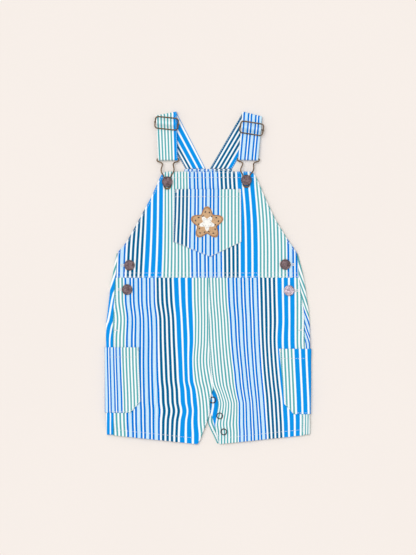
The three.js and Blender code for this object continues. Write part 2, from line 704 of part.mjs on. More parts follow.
function strap(settings) {
  const grid = strapLines(settings).map(({ left, right, z }) => [0, 0.5, 1].map((share) => {
    const [x, y] = mixPoint(left, right, share);
    return new THREE.Vector3(x, y, z);
  }));
  add(`strap_${settings.side}`, wall(grid, STRAP), 'stripe');
}

// Wire frame with a middle bar whose ends stand a little past the sides
function adjuster({ side, adjuster: place }) {
  const outline = [];
  const cornerSteps = 3;
  for (const [sx, sy, turn] of [[1, 1, 0], [-1, 1, 1], [-1, -1, 2], [1, -1, 3]]) {
    for (let i = 0; i <= cornerSteps; i += 1) {
      const angle = (turn + i / cornerSteps) * (Math.PI / 2);
      outline.push(new THREE.Vector3(
        sx * (ADJUSTER_HALF - ADJUSTER_CORNER) + ADJUSTER_CORNER * Math.cos(angle),
        sy * (RAIL - ADJUSTER_CORNER) + ADJUSTER_CORNER * Math.sin(angle),
        0,
      ));
    }
  }
  const frame = toManifold(wireLoop(outline, WIRE, 8));
  const barGeometry = new THREE.CylinderGeometry(BAR, BAR, 2 * (ADJUSTER_HALF + BAR_END), 8);
  barGeometry.rotateZ(Math.PI / 2);
  barGeometry.translate(0, 0, BAR_Z - RAIL_Z);
  const geometry = fromManifold(frame.add(toManifold(barGeometry)));
  geometry.rotateZ(THREE.MathUtils.degToRad(place.tilt));
  geometry.translate(place.x, place.y, RAIL_Z);
  add(`adjuster_${side}`, geometry, 'brass');
}

// Keyhole hook of one bent wire: its top bar in the strap's end, its slot round the bib button's post
function hook({ side, hookEnd }, button) {
  const along = unit(hookEnd.left, hookEnd.right);
  const down = [along[1], -along[0]];
  const middle = mixPoint(hookEnd.left, hookEnd.right, 0.5);
  const top = middle.map((value, i) => value - down[i] * (HOOK_TURN + STRAP / 2));
  const reach = top[1] - (button.y - SLOT_BELOW_BUTTON);
  const wire = [
    { across: 0, down: 0 },
    ...HOOK_WIRE,
    { across: 0, down: HOOK_LENGTH },
    ...HOOK_WIRE.map((place) => ({ across: -place.across, down: place.down })).reverse(),
  ];
  const points = wire.map((place) => {
    const share = place.down / HOOK_LENGTH;
    const centreX = lerp(top[0], button.x, smoothstep(HOOK_DRIFT.from, HOOK_DRIFT.to, share));
    const height = lerp(HOOK_BAR_Z, HOOK_ON_BIB_Z, smoothstep(HOOK_RISE.from, HOOK_RISE.to, share));
    const y = top[1] - share * reach + along[1] * place.across;
    return new THREE.Vector3(centreX + along[0] * place.across, y, height);
  });
  const curve = new THREE.CatmullRomCurve3(points, true, 'centripetal');
  const steps = 60;
  const loop = Array.from({ length: steps }, (_, i) => curve.getPointAt(i / steps));
  add(`hook_${side}`, wireLoop(loop, WIRE, 6), 'brass');
}

// Tack button: a post and a head with a rolled rim. post is the clear height under the head.
function buttonGeometry(post) {
  const { under, edge, rim, dish, crown } = BUTTON_HEAD;
  const { underR, shoulderR, rimR, dishR } = BUTTON_RINGS;
  const profile = [
    [0, SEAM],
    [BUTTON_POST_R, SEAM],
    [BUTTON_POST_R, post],
    [underR, post + under],
    [BUTTON_R, post + edge],
    [shoulderR, post + crown],
    [rimR, post + rim],
    [dishR, post + dish],
    [0, post + crown],
  ];
  return new THREE.LatheGeometry(profile.map(([radius, height]) => new THREE.Vector2(radius, height)), 18);
}

function placeOnFront(geometry, x, y) {
  geometry.rotateX(Math.PI / 2);
  geometry.translate(x, y, frontHeight(x, y) + CLOTH / 2);
  return geometry;
}

function buttons() {
  for (const { side, x, y } of BIB_BUTTONS) {
    add(`bib_button_${side}`, placeOnFront(buttonGeometry(BIB_BUTTON_POST), x, y), 'brass');
  }
  for (const { name, x, y } of SIDE_BUTTONS) {
    add(name, placeOnFront(buttonGeometry(SIDE_BUTTON_POST), x, y), 'brass');
  }
}

// Open rings of the inseam's snaps
function snapRings() {
  SNAP_RINGS.forEach(({ x, y, onPlacket }, i) => {
    const geometry = new THREE.TorusGeometry(SNAP_R, SNAP_WIRE, 6, 18);
    const cloth = onPlacket ? BACK_Z + ON_TOP : frontHeight(x, y);
    geometry.translate(x, y, cloth + CLOTH / 2 + SEAM + SNAP_WIRE);
    add(`snap_ring_${i + 1}`, geometry, 'brass');
  });
}

frontBib();
backBib();
for (const side of ['left', 'right']) {
  frontLeg(side);
  backLeg(side);
  sidePocket(side);
}
placket();
bibPocket();
starPatch();
STRAPS.forEach((settings, i) => {
  strap(settings);
  adjuster(settings);
  hook(settings, BIB_BUTTONS[i]);
});
buttons();
snapRings();

const bounds = new THREE.Box3().setFromObject(dungarees);
const centre = bounds.getCenter(new THREE.Vector3());
dungarees.position.set(-centre.x, -centre.y, -bounds.min.z);

export default dungarees;
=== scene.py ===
import math

import bpy
import numpy as np
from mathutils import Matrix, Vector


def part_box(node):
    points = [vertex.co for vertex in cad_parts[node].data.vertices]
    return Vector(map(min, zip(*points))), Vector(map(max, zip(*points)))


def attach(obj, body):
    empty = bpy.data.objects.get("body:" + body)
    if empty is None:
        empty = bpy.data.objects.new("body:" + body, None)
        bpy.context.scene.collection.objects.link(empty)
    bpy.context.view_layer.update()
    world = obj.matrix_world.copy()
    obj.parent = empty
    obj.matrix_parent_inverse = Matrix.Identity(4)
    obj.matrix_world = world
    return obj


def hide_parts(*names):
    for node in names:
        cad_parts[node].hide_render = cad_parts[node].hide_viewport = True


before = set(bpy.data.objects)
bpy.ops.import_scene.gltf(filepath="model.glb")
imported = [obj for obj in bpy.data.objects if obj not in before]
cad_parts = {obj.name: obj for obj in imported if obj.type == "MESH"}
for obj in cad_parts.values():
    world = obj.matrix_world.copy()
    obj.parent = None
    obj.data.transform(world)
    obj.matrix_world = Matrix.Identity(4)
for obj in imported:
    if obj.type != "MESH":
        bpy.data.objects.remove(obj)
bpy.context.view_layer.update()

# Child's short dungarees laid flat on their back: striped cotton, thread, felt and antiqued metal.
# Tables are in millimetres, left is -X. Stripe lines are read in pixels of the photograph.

MM = 0.001
PHOTO_SCALE = 1.4              # millimetres of garment per pixel of the photograph
PHOTO_CENTRE_X = 208
PHOTO_ZERO_Y = 278
PHOTO_SIZE = (416, 555)

# Cloth and its layers
CLOTH = 1.1
SOLID_CLOTH = 1.2              # thickness of the solids' cloth, which the layers are spaced by
SEAM = 0.3
ON_TOP = SOLID_CLOTH + SEAM    # from the middle of one layer to the middle of the next one on it
BACK_Z = SOLID_CLOTH / 2
FRONT_Z = 3.6
GRID = 2.2                     # spacing of the cloth's mesh
STRAP_GRID = 2.6
# Widths that the meshes are divided for, of the bib pocket its height
MESH_ACROSS = {"front_bib": 256, "back_bib": 230, "front_leg": 136, "back_leg": 135, "placket": 22,
               "bib_pocket": 84, "strap": 29}
# Mesh lines in each stretch of a strap
STRAP_LINES = {"back": 40, "fold": 14, "hump": 17, "front": 22, "hook": 12, "under": 20, "bar": 9}
POCKET_LINES = (22, 18)        # mesh lines of each face of a side pocket, and of its turn
OVER_LINES = (6, 10)           # mesh lines of a leg's turned-over strip, where it is wide and where not
SEAM_POINTS = 50
HEM_POINTS = 24
FELT_STEPS = 180
RIM = (0, 0.12, 0.3, 0.6, 1.0)  # mesh lines that round a cut edge
ROUNDING = 1.6                 # how far in a cut edge is rounded, in half thicknesses
EDGE_LEAST = 0.12              # share of the thickness that is left at the edge itself
SEWN_GAP = 0.03                # from a sewn edge to its seam
PATH_STEP = 4.0

# Seams across the garment
WAIST_Y = 0.5
SIDE_OPENING_Y = 35
ARMHOLE_TOP_Y = 143
CENTRE_SEAM_FOOT_Y = -154
CROTCH_Y = -154.6
BIB_TOP_Y = 149
BACK_TOP_Y = 152.6
HEM_INNER_Y = -232.8
HEM_SIDE_Y = -220.4
SHIFT_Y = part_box("back_bib")[1][1] / MM - BACK_TOP_Y

# Straps and their hardware
STRAP = 1.2
WIRE = 0.85
BAR = 0.7
BUTTON_R = 7.4
SNAP_R = 4.05
SNAP_WIRE = 0.65
FOLD_RADIUS = 1.9
HOOK_TURN = WIRE + SEAM + STRAP / 2
BAR_CLEARANCE = 0.15
BAR_TURN = BAR + BAR_CLEARANCE + STRAP / 2
RAIL = 8.2
HUMP = 6.4
STRAP_BACK_Z = STRAP / 2
STRAP_FRONT_Z = STRAP_BACK_Z + 2 * FOLD_RADIUS
STRAP_RETURN_Z = STRAP_BACK_Z + STRAP + SEAM
BAR_Z = 5.2
OVER_BAR_Z = 8.2
RAIL_CLEARANCE = 0.25
RAIL_Z = STRAP_FRONT_Z + STRAP / 2 + RAIL_CLEARANCE + WIRE
HOOK_BAR_Z = STRAP_RETURN_Z + HOOK_TURN
HOOK_ON_BIB_Z = FRONT_Z + SOLID_CLOTH / 2 + SEAM + WIRE
RISE_TO_BAR = 4                # where the strap's end, back under its front, is halfway up to the bar
ADJUSTER_HALF = 16.2
ADJUSTER_CORNER = 4
BAR_END = 1.7                  # how far the adjuster's bar passes its frame
BAR_ROUNDING = [(0, 0.5), (0.15, 0.85), (0.5, 1.0)]  # in from its end, and share of its radius there
BIB_BUTTON_POST = 2.5
SIDE_BUTTON_POST = 0.8
BUTTON_POST_R = 2.4
CIRCLE_STEPS = 48
# A button's head: radius, and height above its post
BUTTON_HEAD = [
    (5.0, 0), (6.6, 0.1), (7.15, 0.4), (BUTTON_R, 0.85), (7.3, 1.25), (6.95, 1.55), (6.5, 1.68), (6.1, 1.6),
    (5.8, 1.42), (5.5, 1.36), (5.0, 1.4), (3.6, 1.5), (1.8, 1.57), (0.3, 1.6),
]

# Sewing. Rows of stitches lie this far from the edge or the seam that they hold.
EDGE_ROW = 1.8
WAIST_ROW = 6.5
HEM_ROW = 8.4
POCKET_EDGE_ROW = 0.6
POCKET_TIP_INSET = 1.4         # how many times further in that row turns at the bib pocket's tip
STITCH = 2.3
STITCH_GAP = 0.8
THREAD_R = 0.27
# A stitch dips at both ends, where it goes through the cloth: share of its length, radius and height
STITCH_FORM = [(0.0, 0.35, -0.22), (0.16, 0.9, 0.02), (0.5, 1.0, 0.08), (0.84, 0.9, 0.02), (1.0, 0.35, -0.22)]
# Straight rows on the bib: left end, right end and height
BIB_ROWS = [
    (-60, 60, BIB_TOP_Y - EDGE_ROW),
    (-64, 64, BIB_TOP_Y - HEM_ROW),
    (-127.6, 125.8, WAIST_Y + WAIST_ROW),
    (-127.8, 126, WAIST_Y + EDGE_ROW),
]
BACK_ROW = (-31, 33)           # left and right end
PLACKET_ROW = (-160, -188)     # top and foot
STRAP_ROWS = (0.065, 0.935)    # shares of the width
HIP_TACK = (129, -73)          # bar tack in each side seam, from the centre line
HIP_TACK_TILT = 8
TACK_LENGTH = 5.0
TACK_HALF = 0.9
BUTTONHOLE_LENGTH = 19.0
BUTTONHOLE_OUT = 3.5           # from a button's middle to the middle of its buttonhole
BUTTONHOLE_BAR = (0.25, 1.7)   # from the slit to both ends of a stitch
TACK_STITCHES = 11
TACK_R = 0.24
SATIN_STITCHES = 38
SATIN_R = 0.25
# How high a thread's middle lies above the cloth, in radii
ROW_STANDS = 0.6
SATIN_STANDS = 0.7
BACK_INSEAM_ROW = (-175, HEM_INNER_Y + 3)  # top and foot
STRAP_STITCH_FORM = (0.5, 1.0, 0.5)        # shares of the radius, from end to end
LOWEST_STITCH = STRAP / 4                  # below it the strap's stitches would lie on the ground

SIGN = {"left": -1, "right": 1}


def table(names, rows):
    """Rows of numbers as named columns"""
    return dict(zip(names.split(), np.array(rows, float).T))


FRONT_BIB = table("y left right", [
    (WAIST_Y, -129.0, 127.2), (12, -128.2, 126.5), (24, -127.1, 125.3), (35, -126.2, 124.1),
    (43, -120.0, 119.2), (51, -113.9, 113.5), (62, -107.4, 106.6), (74, -100.8, 99.0),
    (86, -94.2, 92.5), (99, -87.2, 86.2), (112, -80.2, 80.2), (124, -74.6, 75.0),
    (135, -69.8, 70.2), (143, -66.0, 66.3), (147, -63.0, 63.2), (BIB_TOP_Y, -58.5, 58.5),
])
BACK_BIB = table("y left right", [
    (35, -125.2, 123.0), (47, -110.0, 108.5), (62, -93.0, 93.0), (85, -72.0, 73.0),
    (108, -55.0, 56.0), (132, -40.5, 42.0), (146, -34.0, 36.0), (BACK_TOP_Y, -32.5, 34.4),
])
SIDES = table("y seam_left fold_left seam_right fold_right", [
    (35, -126.2, -127.7, 124.1, 125.6), (24, -127.1, -130.1, 125.3, 128.5),
    (12, -128.2, -132.5, 126.5, 131.6), (0.5, -129.2, -134.2, 127.3, 134.0),
    (-11, -130.3, -136.7, 128.7, 136.2), (-28, -131.2, -138.4, 131.4, 138.6),
    (-51, -132.4, -141.1, 134.2, 141.7), (-70, -133.0, -143.1, 134.9, 142.8),
    (-98, -132.6, -143.1, 135.2, 143.1), (-140, -132.2, -143.1, 135.0, 143.1),
    (-188, -132.0, -143.0, 134.6, 142.3), (-204, -132.2, -142.6, 134.5, 142.9),
    (-221, -132.4, -141.8, 134.4, 143.2),
])
INNER = table("y front_left front_right back_left back_right", [
    (0.5, 1.3, 1.3, 1.3, 1.3), (-29, 1.2, 1.2, 1.2, 1.2), (-60, 1.2, 1.2, 1.2, 1.2),
    (-76, 1.4, 1.4, 1.4, 1.4), (-92, 1.7, 1.7, 1.7, 1.7), (-108, 2.3, 2.3, 2.3, 2.3),
    (-124, 3.3, 3.3, 3.3, 3.3), (-140, 4.9, 4.9, 4.9, 4.9), (CROTCH_Y, 7.0, 7.1, 6.6, 7.0),
    (-164.6, 4.2, 12.0, 2.0, 4.6), (-174.5, 3.2, 14.0, -0.8, 1.8), (-187, 2.6, 12.9, -2.4, 0.4),
    (-200, -0.8, 11.2, -4.4, -0.8), (-210, -4.6, 9.9, -7.4, 2.5), (-219, -8.1, 12.3, -10.8, 6.9),
    (-227, -11.0, 14.4, -13.8, 10.6), (HEM_INNER_Y, -15.0, 15.6, -17.0, 13.2),
])
PLACKET = table("y left right", [
    (-150, -1.0, 13.0), (-165, -2.5, 21.0), (-178, -1.5, 22.0), (-187, 2.0, 21.0),
    (-194, 5.6, 19.5), (-202, 8.0, 17.0), (-210, 9.6, 13.5),
])
SIDE_POCKET = {
    "left": table("y inner", [
        (-97, 96.6), (-112, 96.4), (-128, 96.0), (-144, 95.5), (-160, 95.0), (-173, 94.6),
        (-188.4, 108.4),
    ]),
    "right": table("y inner", [
        (-99, 99.4), (-113, 100.8), (-129, 102.4), (-145, 104.0), (-161, 105.4), (-176, 106.6),
        (-190.4, 119.8),
    ]),
}
SIDE_POCKET_CUT = {"left": ((0.104, 0.0915), 0.0089), "right": ((0.098, 0.0915), 0.0076)}  # metres
LIP_RISE = 1.1                 # how far the pockets' mouths gape
LIP_REACH = 16
POCKET_BAND = 0.2              # how far the pockets' turned edges stand up
BACK_BAND = 0.3                # the same for the back's top edge
# Where the step down from a turned edge starts and ends, measured from the edge
BACK_HEM = (6, 8)
BIB_POCKET_HEM = (8.2, 10.2)
BIB_POCKET_SIDES = (6.0, 7.6)
SIDE_POCKET_HEM = (11.5, 13.5)
BIB_POCKET_ROW = 10.4          # from the pocket's top edge to the stitches of its hem
POCKET_TACK = (2.4, 2.0)       # bar tack in from the side and down from the top
SIDE_POCKET_TACK = 2.4
SIDE_ROW_END = 138.5           # where the side pockets' straight rows end, at the fold
BIB_POCKET_TOP = (-46.8, 45.9, 124.2)      # left, right and height
BIB_POCKET_CORNERS = (-48.4, 46.9, 50.6)
BIB_POCKET_TIP = (3.1, 29.7)

# The legs are lifted where the back halves of the side pockets lie under them.
LIFT_ACROSS = (76, 91)
LIFT_UPPER = (-73, -87)
LIFT_LOWER = (-200, -216)

# Soft folds of the front: the line each follows, how far it spreads and how high it stands.
# The first ones are the solids' own.
FRONT_FOLDS = [
    ("inside of right thigh", [(10, -100), (20, -144), (29, -180), (25, -216)], 12, 1.1),
    ("inside of left thigh", [(-24, -92), (-19, -165)], 13, 1.0),
    ("edge over the top snap", [(3, -168), (3, -175)], 14, 1.5),
    ("left thigh hollow", [(-47, -60), (-42, -150)], 17, -0.6),
    ("left leg", [(-85, -36), (-79, -160)], 20, 0.8),
    ("right leg", [(73, -30), (66, -170)], 19, 0.9),
    ("left hip", [(-129, -72), (-108, -61)], 12, 0.6),
    ("right hip", [(128, -70), (106, -58)], 12, 0.6),
    ("waist seam", [(-124, 1), (122, 1)], 11, 0.4),
    ("left of bib", [(-94, 60), (-60, 20)], 18, 0.7),
    ("right of bib", [(92, 62), (62, 22)], 18, 0.7),
    ("trough beside right thigh", [(21, -104), (31, -142), (41, -172), (38, -200)], 5, -1.0),
    ("second right ridge", [(33, -88), (44, -128), (50, -150)], 6, 0.8),
    ("short right trough", [(52, -112), (59, -146)], 5, -0.7),
    ("trough beside left thigh", [(-33, -88), (-30, -128), (-24, -158)], 5, -1.0),
    ("crotch ridge left", [(2, -128), (-10, -150), (-14, -176)], 5, 0.8),
    ("crotch pull right", [(9, -146), (22, -158), (33, -163)], 4, -0.7),
    ("crotch pull left", [(4, -150), (-9, -160), (-20, -163)], 4, -0.6),
    ("left hip pinch", [(-134, -76), (-124, -73), (-117, -72)], 2.8, -0.9),
    ("left hip pinch ridge", [(-133, -80), (-121, -79)], 3.0, 0.6),
    ("right hip pinch", [(134, -74), (125, -71), (117, -69)], 2.8, -0.9),
    ("right hip pinch ridge", [(134, -79), (122, -77)], 3.0, 0.6),
    ("left hip slant", [(-126, -40), (-112, -56), (-104, -84)], 5, 0.7),
    ("right hip slant", [(124, -36), (111, -54), (104, -88)], 5, 0.65),
    ("left leg upper trough", [(-66, -12), (-62, -44), (-66, -78)], 7, -0.7),
    ("right leg upper trough", [(48, -8), (45, -38), (49, -64)], 7, -0.65),
    ("left hem wave", [(-96, -206), (-90, -226)], 8, 0.7),
    ("left hem wave inner", [(-46, -196), (-44, -230)], 9, 0.8),
    ("right hem wave", [(58, -198), (60, -226)], 9, 0.8),
    ("right hem wave outer", [(97, -206), (99, -222)], 7, 0.6),
    ("bib crease left", [(-62, 120), (-66, 88), (-74, 58)], 6, -0.6),
    ("bib crease right", [(62, 116), (68, 84), (80, 58)], 6, -0.6),
    ("under left side button", [(-110, 8), (-104, -6), (-106, -16)], 5, 0.4),
    ("under right side button", [(107, 9), (102, -5), (106, -16)], 5, 0.4),
    ("bib foot left", [(-100, 14), (-84, 22), (-66, 19)], 6, 0.35),
    ("bib foot right", [(98, 14), (80, 23), (64, 18)], 6, 0.35),
]
BACK_FOLDS = [
    ("seat left", [(-60, -20), (-52, -76), (-58, -128)], 14, 0.25),
    ("seat right", [(56, -28), (60, -88), (53, -140)], 15, 0.25),
    ("inside of back thigh left", [(-20, -120), (-26, -190)], 9, 0.2),
    ("inside of back thigh right", [(24, -112), (30, -184)], 10, 0.2),
]

STAR_CENTRE = (-1.3, 76.7)
STAR_RADIUS = 19.2
STAR_LOBE = 4.4
STAR_ARMS = 5
STAR_THICKNESS = 1.5
MOTIF_RADIUS = 8.6
MOTIF_LOBE = 2.6
MOTIF_THICKNESS = 0.7
PATCH_GAP = 0.25               # under the patch
PATCH_HEIGHT = STAR_THICKNESS - 0.4
ON_MOTIF = STAR_THICKNESS + 0.5
FELT_SINK = 0.15               # how far what is sewn on the felt sinks into it
BORDER = (0.885, 1.0)          # inner and outer edge of the sewn border, as shares of the star
BORDER_Z = (STAR_THICKNESS - 0.1, 0.55)
BORDER_STITCHES = 210
BORDER_R = 0.42
# Rows of dark stitches on the star and on its motif: share, points, length, gap and radius
STAR_ROW = (0.72, 120, 2.6, 4.2, 0.75)
MOTIF_ROW = (0.66, 90, 1.5, 1.7, THREAD_R)

BIB_BUTTONS = {"left": (-57.0, 134.7), "right": (53.6, 137.0)}
SIDE_BUTTONS = {
    "side_button_upper_left": (-109.9, 17.8),
    "side_button_upper_right": (108.1, 18.9),
    "side_button_lower_left": (-113.1, -16.1),
    "side_button_lower_right": (113.4, -17.6),
}
SNAP_RINGS = {"snap_ring_1": (6.6, -170.8), "snap_ring_2": (16.3, -192.9), "snap_ring_3": (22.0, -215.2)}

# Every line across a strap has its left and its right end.
STRAPS = {
    "left": {
        "back_end": ((-31.6, 153.0), (-3.4, 153.0)),
        "fold": ((-72.7, 227.6), (-44.2, 233.2)),
        "hook_end": ((-69.8, 164.4), (-42.4, 164.6)),
        "adjuster": (-57.9, 216.5),
        "tilt": -6,
        "outer_cut": (71.9, 40.6),
        "inner_cut": (10.6, 40.5),
    },
    "right": {
        "back_end": ((2.4, 153.0), (33.6, 153.0)),
        "fold": ((48.4, 233.2), (75.8, 226.4)),
        "hook_end": ((42.5, 165.0), (70.3, 164.4)),
        "adjuster": (61.1, 209.4),
        "tilt": -9,
        "outer_cut": (85.1, 115.9),
        "inner_cut": (-1.7, 27.4),
    },
}
# Half of a hook's wire, from the middle of its top bar round to the bottom of its slot
HOOK_WIRE = table("across down", [
    (8, 0), (14.3, 0), (15.4, 1.7), (13.6, 3.7), (9.4, 5.2), (7.6, 7.2), (8.2, 10.8), (9.0, 14.8),
    (8.2, 18.6), (5.6, 22.6), (4.6, 27), (4.9, 32), (4.8, 36.6), (3.2, 40),
])
HOOK_LENGTH = 41
SLOT_BELOW_BUTTON = 9.7
SLOT_WEAR = 0.3                # how much thicker the wire is where it was pressed flat under the button
SLOT_SHARE = 0.045             # share of the wire's length over which that fades, to each side
HOOK_POINTS = 200
HOOK_DRIFT = (0.1, 0.6)        # where along the hook it passes from the strap's middle to the button's
HOOK_RISE = (0.06, 0.3)        # and from the bar's height down to the bib's

# The stripes of one repeat, across the cloth. Each pair of blue lines has two thin pale ones between.
REPEAT = 134.5
WRAP_MARGIN = 4                # the repeat is cut this far before its first line
BLUE_START = 88.5
BLUE_PITCH = 11.35
BLUE = (0, 119, 215)
PALE = (70, 184, 242)
STRIPES = {name: dict(start=start, pitch=pitch, count=count, width=width, colour=colour)
           for name, start, pitch, count, width, colour in [
               ("dark", 0.0, 5.8, 4, 3.2, (0, 95, 142)),
               ("sky", 24.8, 8.96, 3, 6.1, (12, 149, 233)),
               ("green", 49.6, 4.9, 8, 2.42, (90, 172, 177)),
               ("blue", BLUE_START, BLUE_PITCH, 4, 2.75, BLUE),
               ("pale", BLUE_START + 2.6, BLUE_PITCH, 4, 0.5, PALE),
               ("pale_after", BLUE_START + 4.2, BLUE_PITCH, 4, 0.5, PALE),
               ("blue_after", BLUE_START + 6.7, BLUE_PITCH, 4, 2.75, BLUE),
           ]}
WHITE_YARN = (255, 255, 255)
EDGE_BLEED = 0.45              # half of the soft edge of a stripe
SCREEN_GAMMA = 2.2
WARP_PITCH = 0.5
WEFT_PITCH = 0.62
YARN_WANDER = 0.35
FADED = (0.9, 0.93, 0.96)      # shares of each colour that are left where the cloth is worn
YARN_SHADE = (0.93, 0.94, 0.95)  # and between the yarns

# The studio
STUDIO_LIGHT = 1.1             # how much brighter than its own colour a surface facing up shows
FLOOR_SIZE = 6.0
SKY_LIGHT = 0.66
SUN_LIGHT = 1.72
SUN_WIDTH = 50                 # degrees
SUN_TILT = (-14, -18)
CAMERA_HEIGHT = 3.0
PAPER = ((231, 223, 217), (234, 226, 220))

# Where chosen stripes run, in pixels of the photograph. left_ means one repeat further left.
GRAIN = {
    "front_leg_left": table("y left_blue_1 left_blue_4 dark_1 sky_1 sky_3 green_1 green_5", [
        (279, 125.4, 149.8, 157.5, 176.0, 189.7, 194.5, 207.6),
        (300, 125.7, 150.0, 157.9, 177.0, 189.9, 194.9, 207.4),
        (320, 127.7, 151.5, 160.3, 178.6, 190.7, 195.7, 207.6),
        (340, 127.0, 152.0, 160.6, 179.4, 191.6, 195.4, 207.4),
        (360, 127.0, 151.8, 161.2, 180.5, 190.9, 194.1, 206.6),
        (380, 127.0, 152.1, 162.0, 181.4, 191.3, 195.8, 209.2),
        (390, 127.1, 152.4, 163.0, 182.6, 193.8, 198.0, 211.4),
        (402, 127.2, 152.8, 163.4, 183.2, 194.9, 199.8, 213.0),
        (411, 127.4, 153.4, 164.4, 184.8, 195.6, 200.4, 213.8),
        (421, 127.6, 153.4, 163.4, 183.0, 195.4, 200.6, 214.6),
        (434, 128.2, 153.6, 163.2, 182.2, 196.4, 201.8, 215.8),
    ]),
    "front_leg_right": table(
        "y left_green_3 left_green_5 left_green_8 left_blue_4 dark_1 sky_1 sky_3 green_1", [
            (279, 209.5, 215.8, 225.2, 252.5, 261.0, 279.5, 292.0, 297.0),
            (300, 210.5, 216.7, 226.0, 253.1, 261.6, 279.9, 292.3, 297.4),
            (320, 212.0, 218.2, 227.6, 254.0, 262.0, 280.4, 292.3, 297.4),
            (340, 213.0, 219.3, 228.7, 254.6, 262.8, 279.4, 292.4, 297.3),
            (360, 214.5, 220.7, 230.6, 255.7, 263.9, 280.4, 293.6, 298.6),
            (372, 215.6, 221.8, 232.1, 256.5, 264.8, 281.4, 294.5, 299.5),
            (384, 217.5, 223.2, 233.2, 257.6, 265.9, 282.6, 295.6, 300.6),
            (396, 221.6, 226.6, 235.2, 258.7, 267.1, 284.0, 296.8, 301.8),
            (404, 223.4, 228.6, 236.8, 259.3, 267.7, 284.7, 297.3, 302.3),
            (413, 222.4, 228.0, 236.8, 260.0, 268.2, 285.2, 297.5, 302.4),
            (424, 220.6, 226.6, 236.6, 260.8, 268.9, 285.8, 297.7, 302.4),
            (433, 221.6, 227.6, 237.0, 261.3, 269.4, 286.1, 297.7, 302.4),
            (444, 221.6, 227.6, 237.0, 261.6, 269.8, 286.4, 297.8, 302.4),
        ]),
    "front_bib": table(
        "y left_dark_1 left_sky_1 left_sky_3 left_green_8 left_blue_4 dark_1 sky_1 sky_3 green_1 blue_1", [
            (171, 136.5, 149.8, 161.2, 186.6, 212.8, 221.2, 239.2, 251.6, 256.2, 282.0),
            (183, 135.5, 149.6, 161.1, 186.8, 213.2, 221.7, 239.7, 252.1, 256.7, 283.5),
            (205, 132.6, 149.0, 161.0, 187.3, 214.3, 223.0, 241.5, 253.8, 258.7, 286.0),
            (224, 131.0, 148.6, 160.8, 187.8, 215.2, 224.0, 242.4, 255.0, 260.0, 287.5),
            (252, 128.7, 147.5, 160.2, 188.6, 216.4, 225.0, 242.8, 255.6, 260.6, 288.3),
            (278, 127.8, 146.0, 159.2, 189.0, 216.7, 225.3, 242.9, 255.7, 260.6, 288.5),
        ]),
    "bib_pocket": table("y dark_4 dark_1 left_blue_1 left_green_3", [
        (190, 175.9, 187.1, 218.3, 238.6),
        (215, 175.2, 186.8, 218.2, 238.6),
        (240, 174.1, 186.2, 218.3, 238.6),
        (256, 173.7, 186.0, 218.4, 238.6),
    ]),
    "side_pocket_left": table("y left_blue_after_2 left_blue_1 left_green_4", [
        (347, 110.0, 119.8, 136.0), (360, 110.2, 120.1, 136.2), (400, 111.2, 121.6, 137.7),
        (413, 111.4, 121.9, 137.9),
    ]),
    "side_pocket_right": table("y green_4 green_1 sky_3 sky_1", [
        (349, 280.9, 291.3, 296.5, 309.3), (360, 281.4, 291.8, 297.0, 309.6),
        (400, 283.1, 293.6, 299.0, 311.2), (413, 283.5, 294.0, 299.4, 311.5),
    ]),
    "back_bib": table("y left_blue_1 dark_1 dark_4", [
        (169, 184.2, 216.8, 230.8), (200, 178.0, 212.0, 227.0), (253, 172.0, 206.0, 222.0),
    ]),
    "crotch_placket": table("y sky_1 sky_2", [
        (385, 206.8, 213.2), (393, 207.5, 213.9), (400, 210.0, 216.4), (406, 209.8, 216.2),
        (413, 208.6, 215.0), (420, 207.4, 213.8), (428, 206.5, 212.9),
    ]),
}
# How far across the cut cloth of each back leg its side seam lies, at heights in the photograph,
# and how fast that changes from the seam outwards
BACK_LEG_CUT = {
    "left": table("y at_seam outwards", [
        (250, 56.0, 1.0), (262, 50.4, 1.0), (274, 45.8, 1.0), (289.5, 39.6, 1.05), (294, 36.9, 1.05),
        (321, 30.7, 1.1), (325.5, 27.9, 1.15), (336, 24.0, 1.3), (345, 21.7, 1.6), (420, 22.4, 1.6),
        (440, 22.7, 1.6),
    ]),
    "right": table("y at_seam outwards", [
        (250, 68.0, -1.0), (255, 69.2, -1.0), (271.8, 74.1, -1.0), (281.8, 79.0, -1.15), (295.5, 83.9, -1.15),
        (309.3, 88.5, -1.2), (321, 95.2, -1.3), (329, 99.9, -1.4), (347, 110.0, -1.5), (410, 86.8, -1.5),
        (440, 86.8, -1.5),
    ]),
}
WRAP_REACH = 12
INSEAM_CUT = (26, 60)          # the right back leg's stripes follow its inseam up to here, then its side
PAST_GREEN = 1.0               # how far past the last green line that inseam lies
BESIDE_FOLD = 2                # the heights of front and back are taken this far in from a fold

# Near the side opening the back's edge hasn't reached the front yet: its turn grows from the angle
# WRAP_START to a whole one while the cloth comes over by these two amounts.
WRAP_WHOLE = (-0.6, 0.4)
WRAP_START = 0.2
WRAP_LEAST = 0.3
TURN_STEPS = 15
OVER_RISE = 0.1
OVER_REACH = 0.5               # share of its width over which it comes down on the front


def photo_x(pixel):
    return (np.asarray(pixel, float) - PHOTO_CENTRE_X) * PHOTO_SCALE


def photo_y(pixel):
    return (PHOTO_ZERO_Y - np.asarray(pixel, float)) * PHOTO_SCALE


def smooth(low, high, value):
    t = np.clip((np.asarray(value, float) - low) / (high - low), 0, 1)
    return t * t * (3 - 2 * t)


def mix(a, b, t):
    return a + (b - a) * t


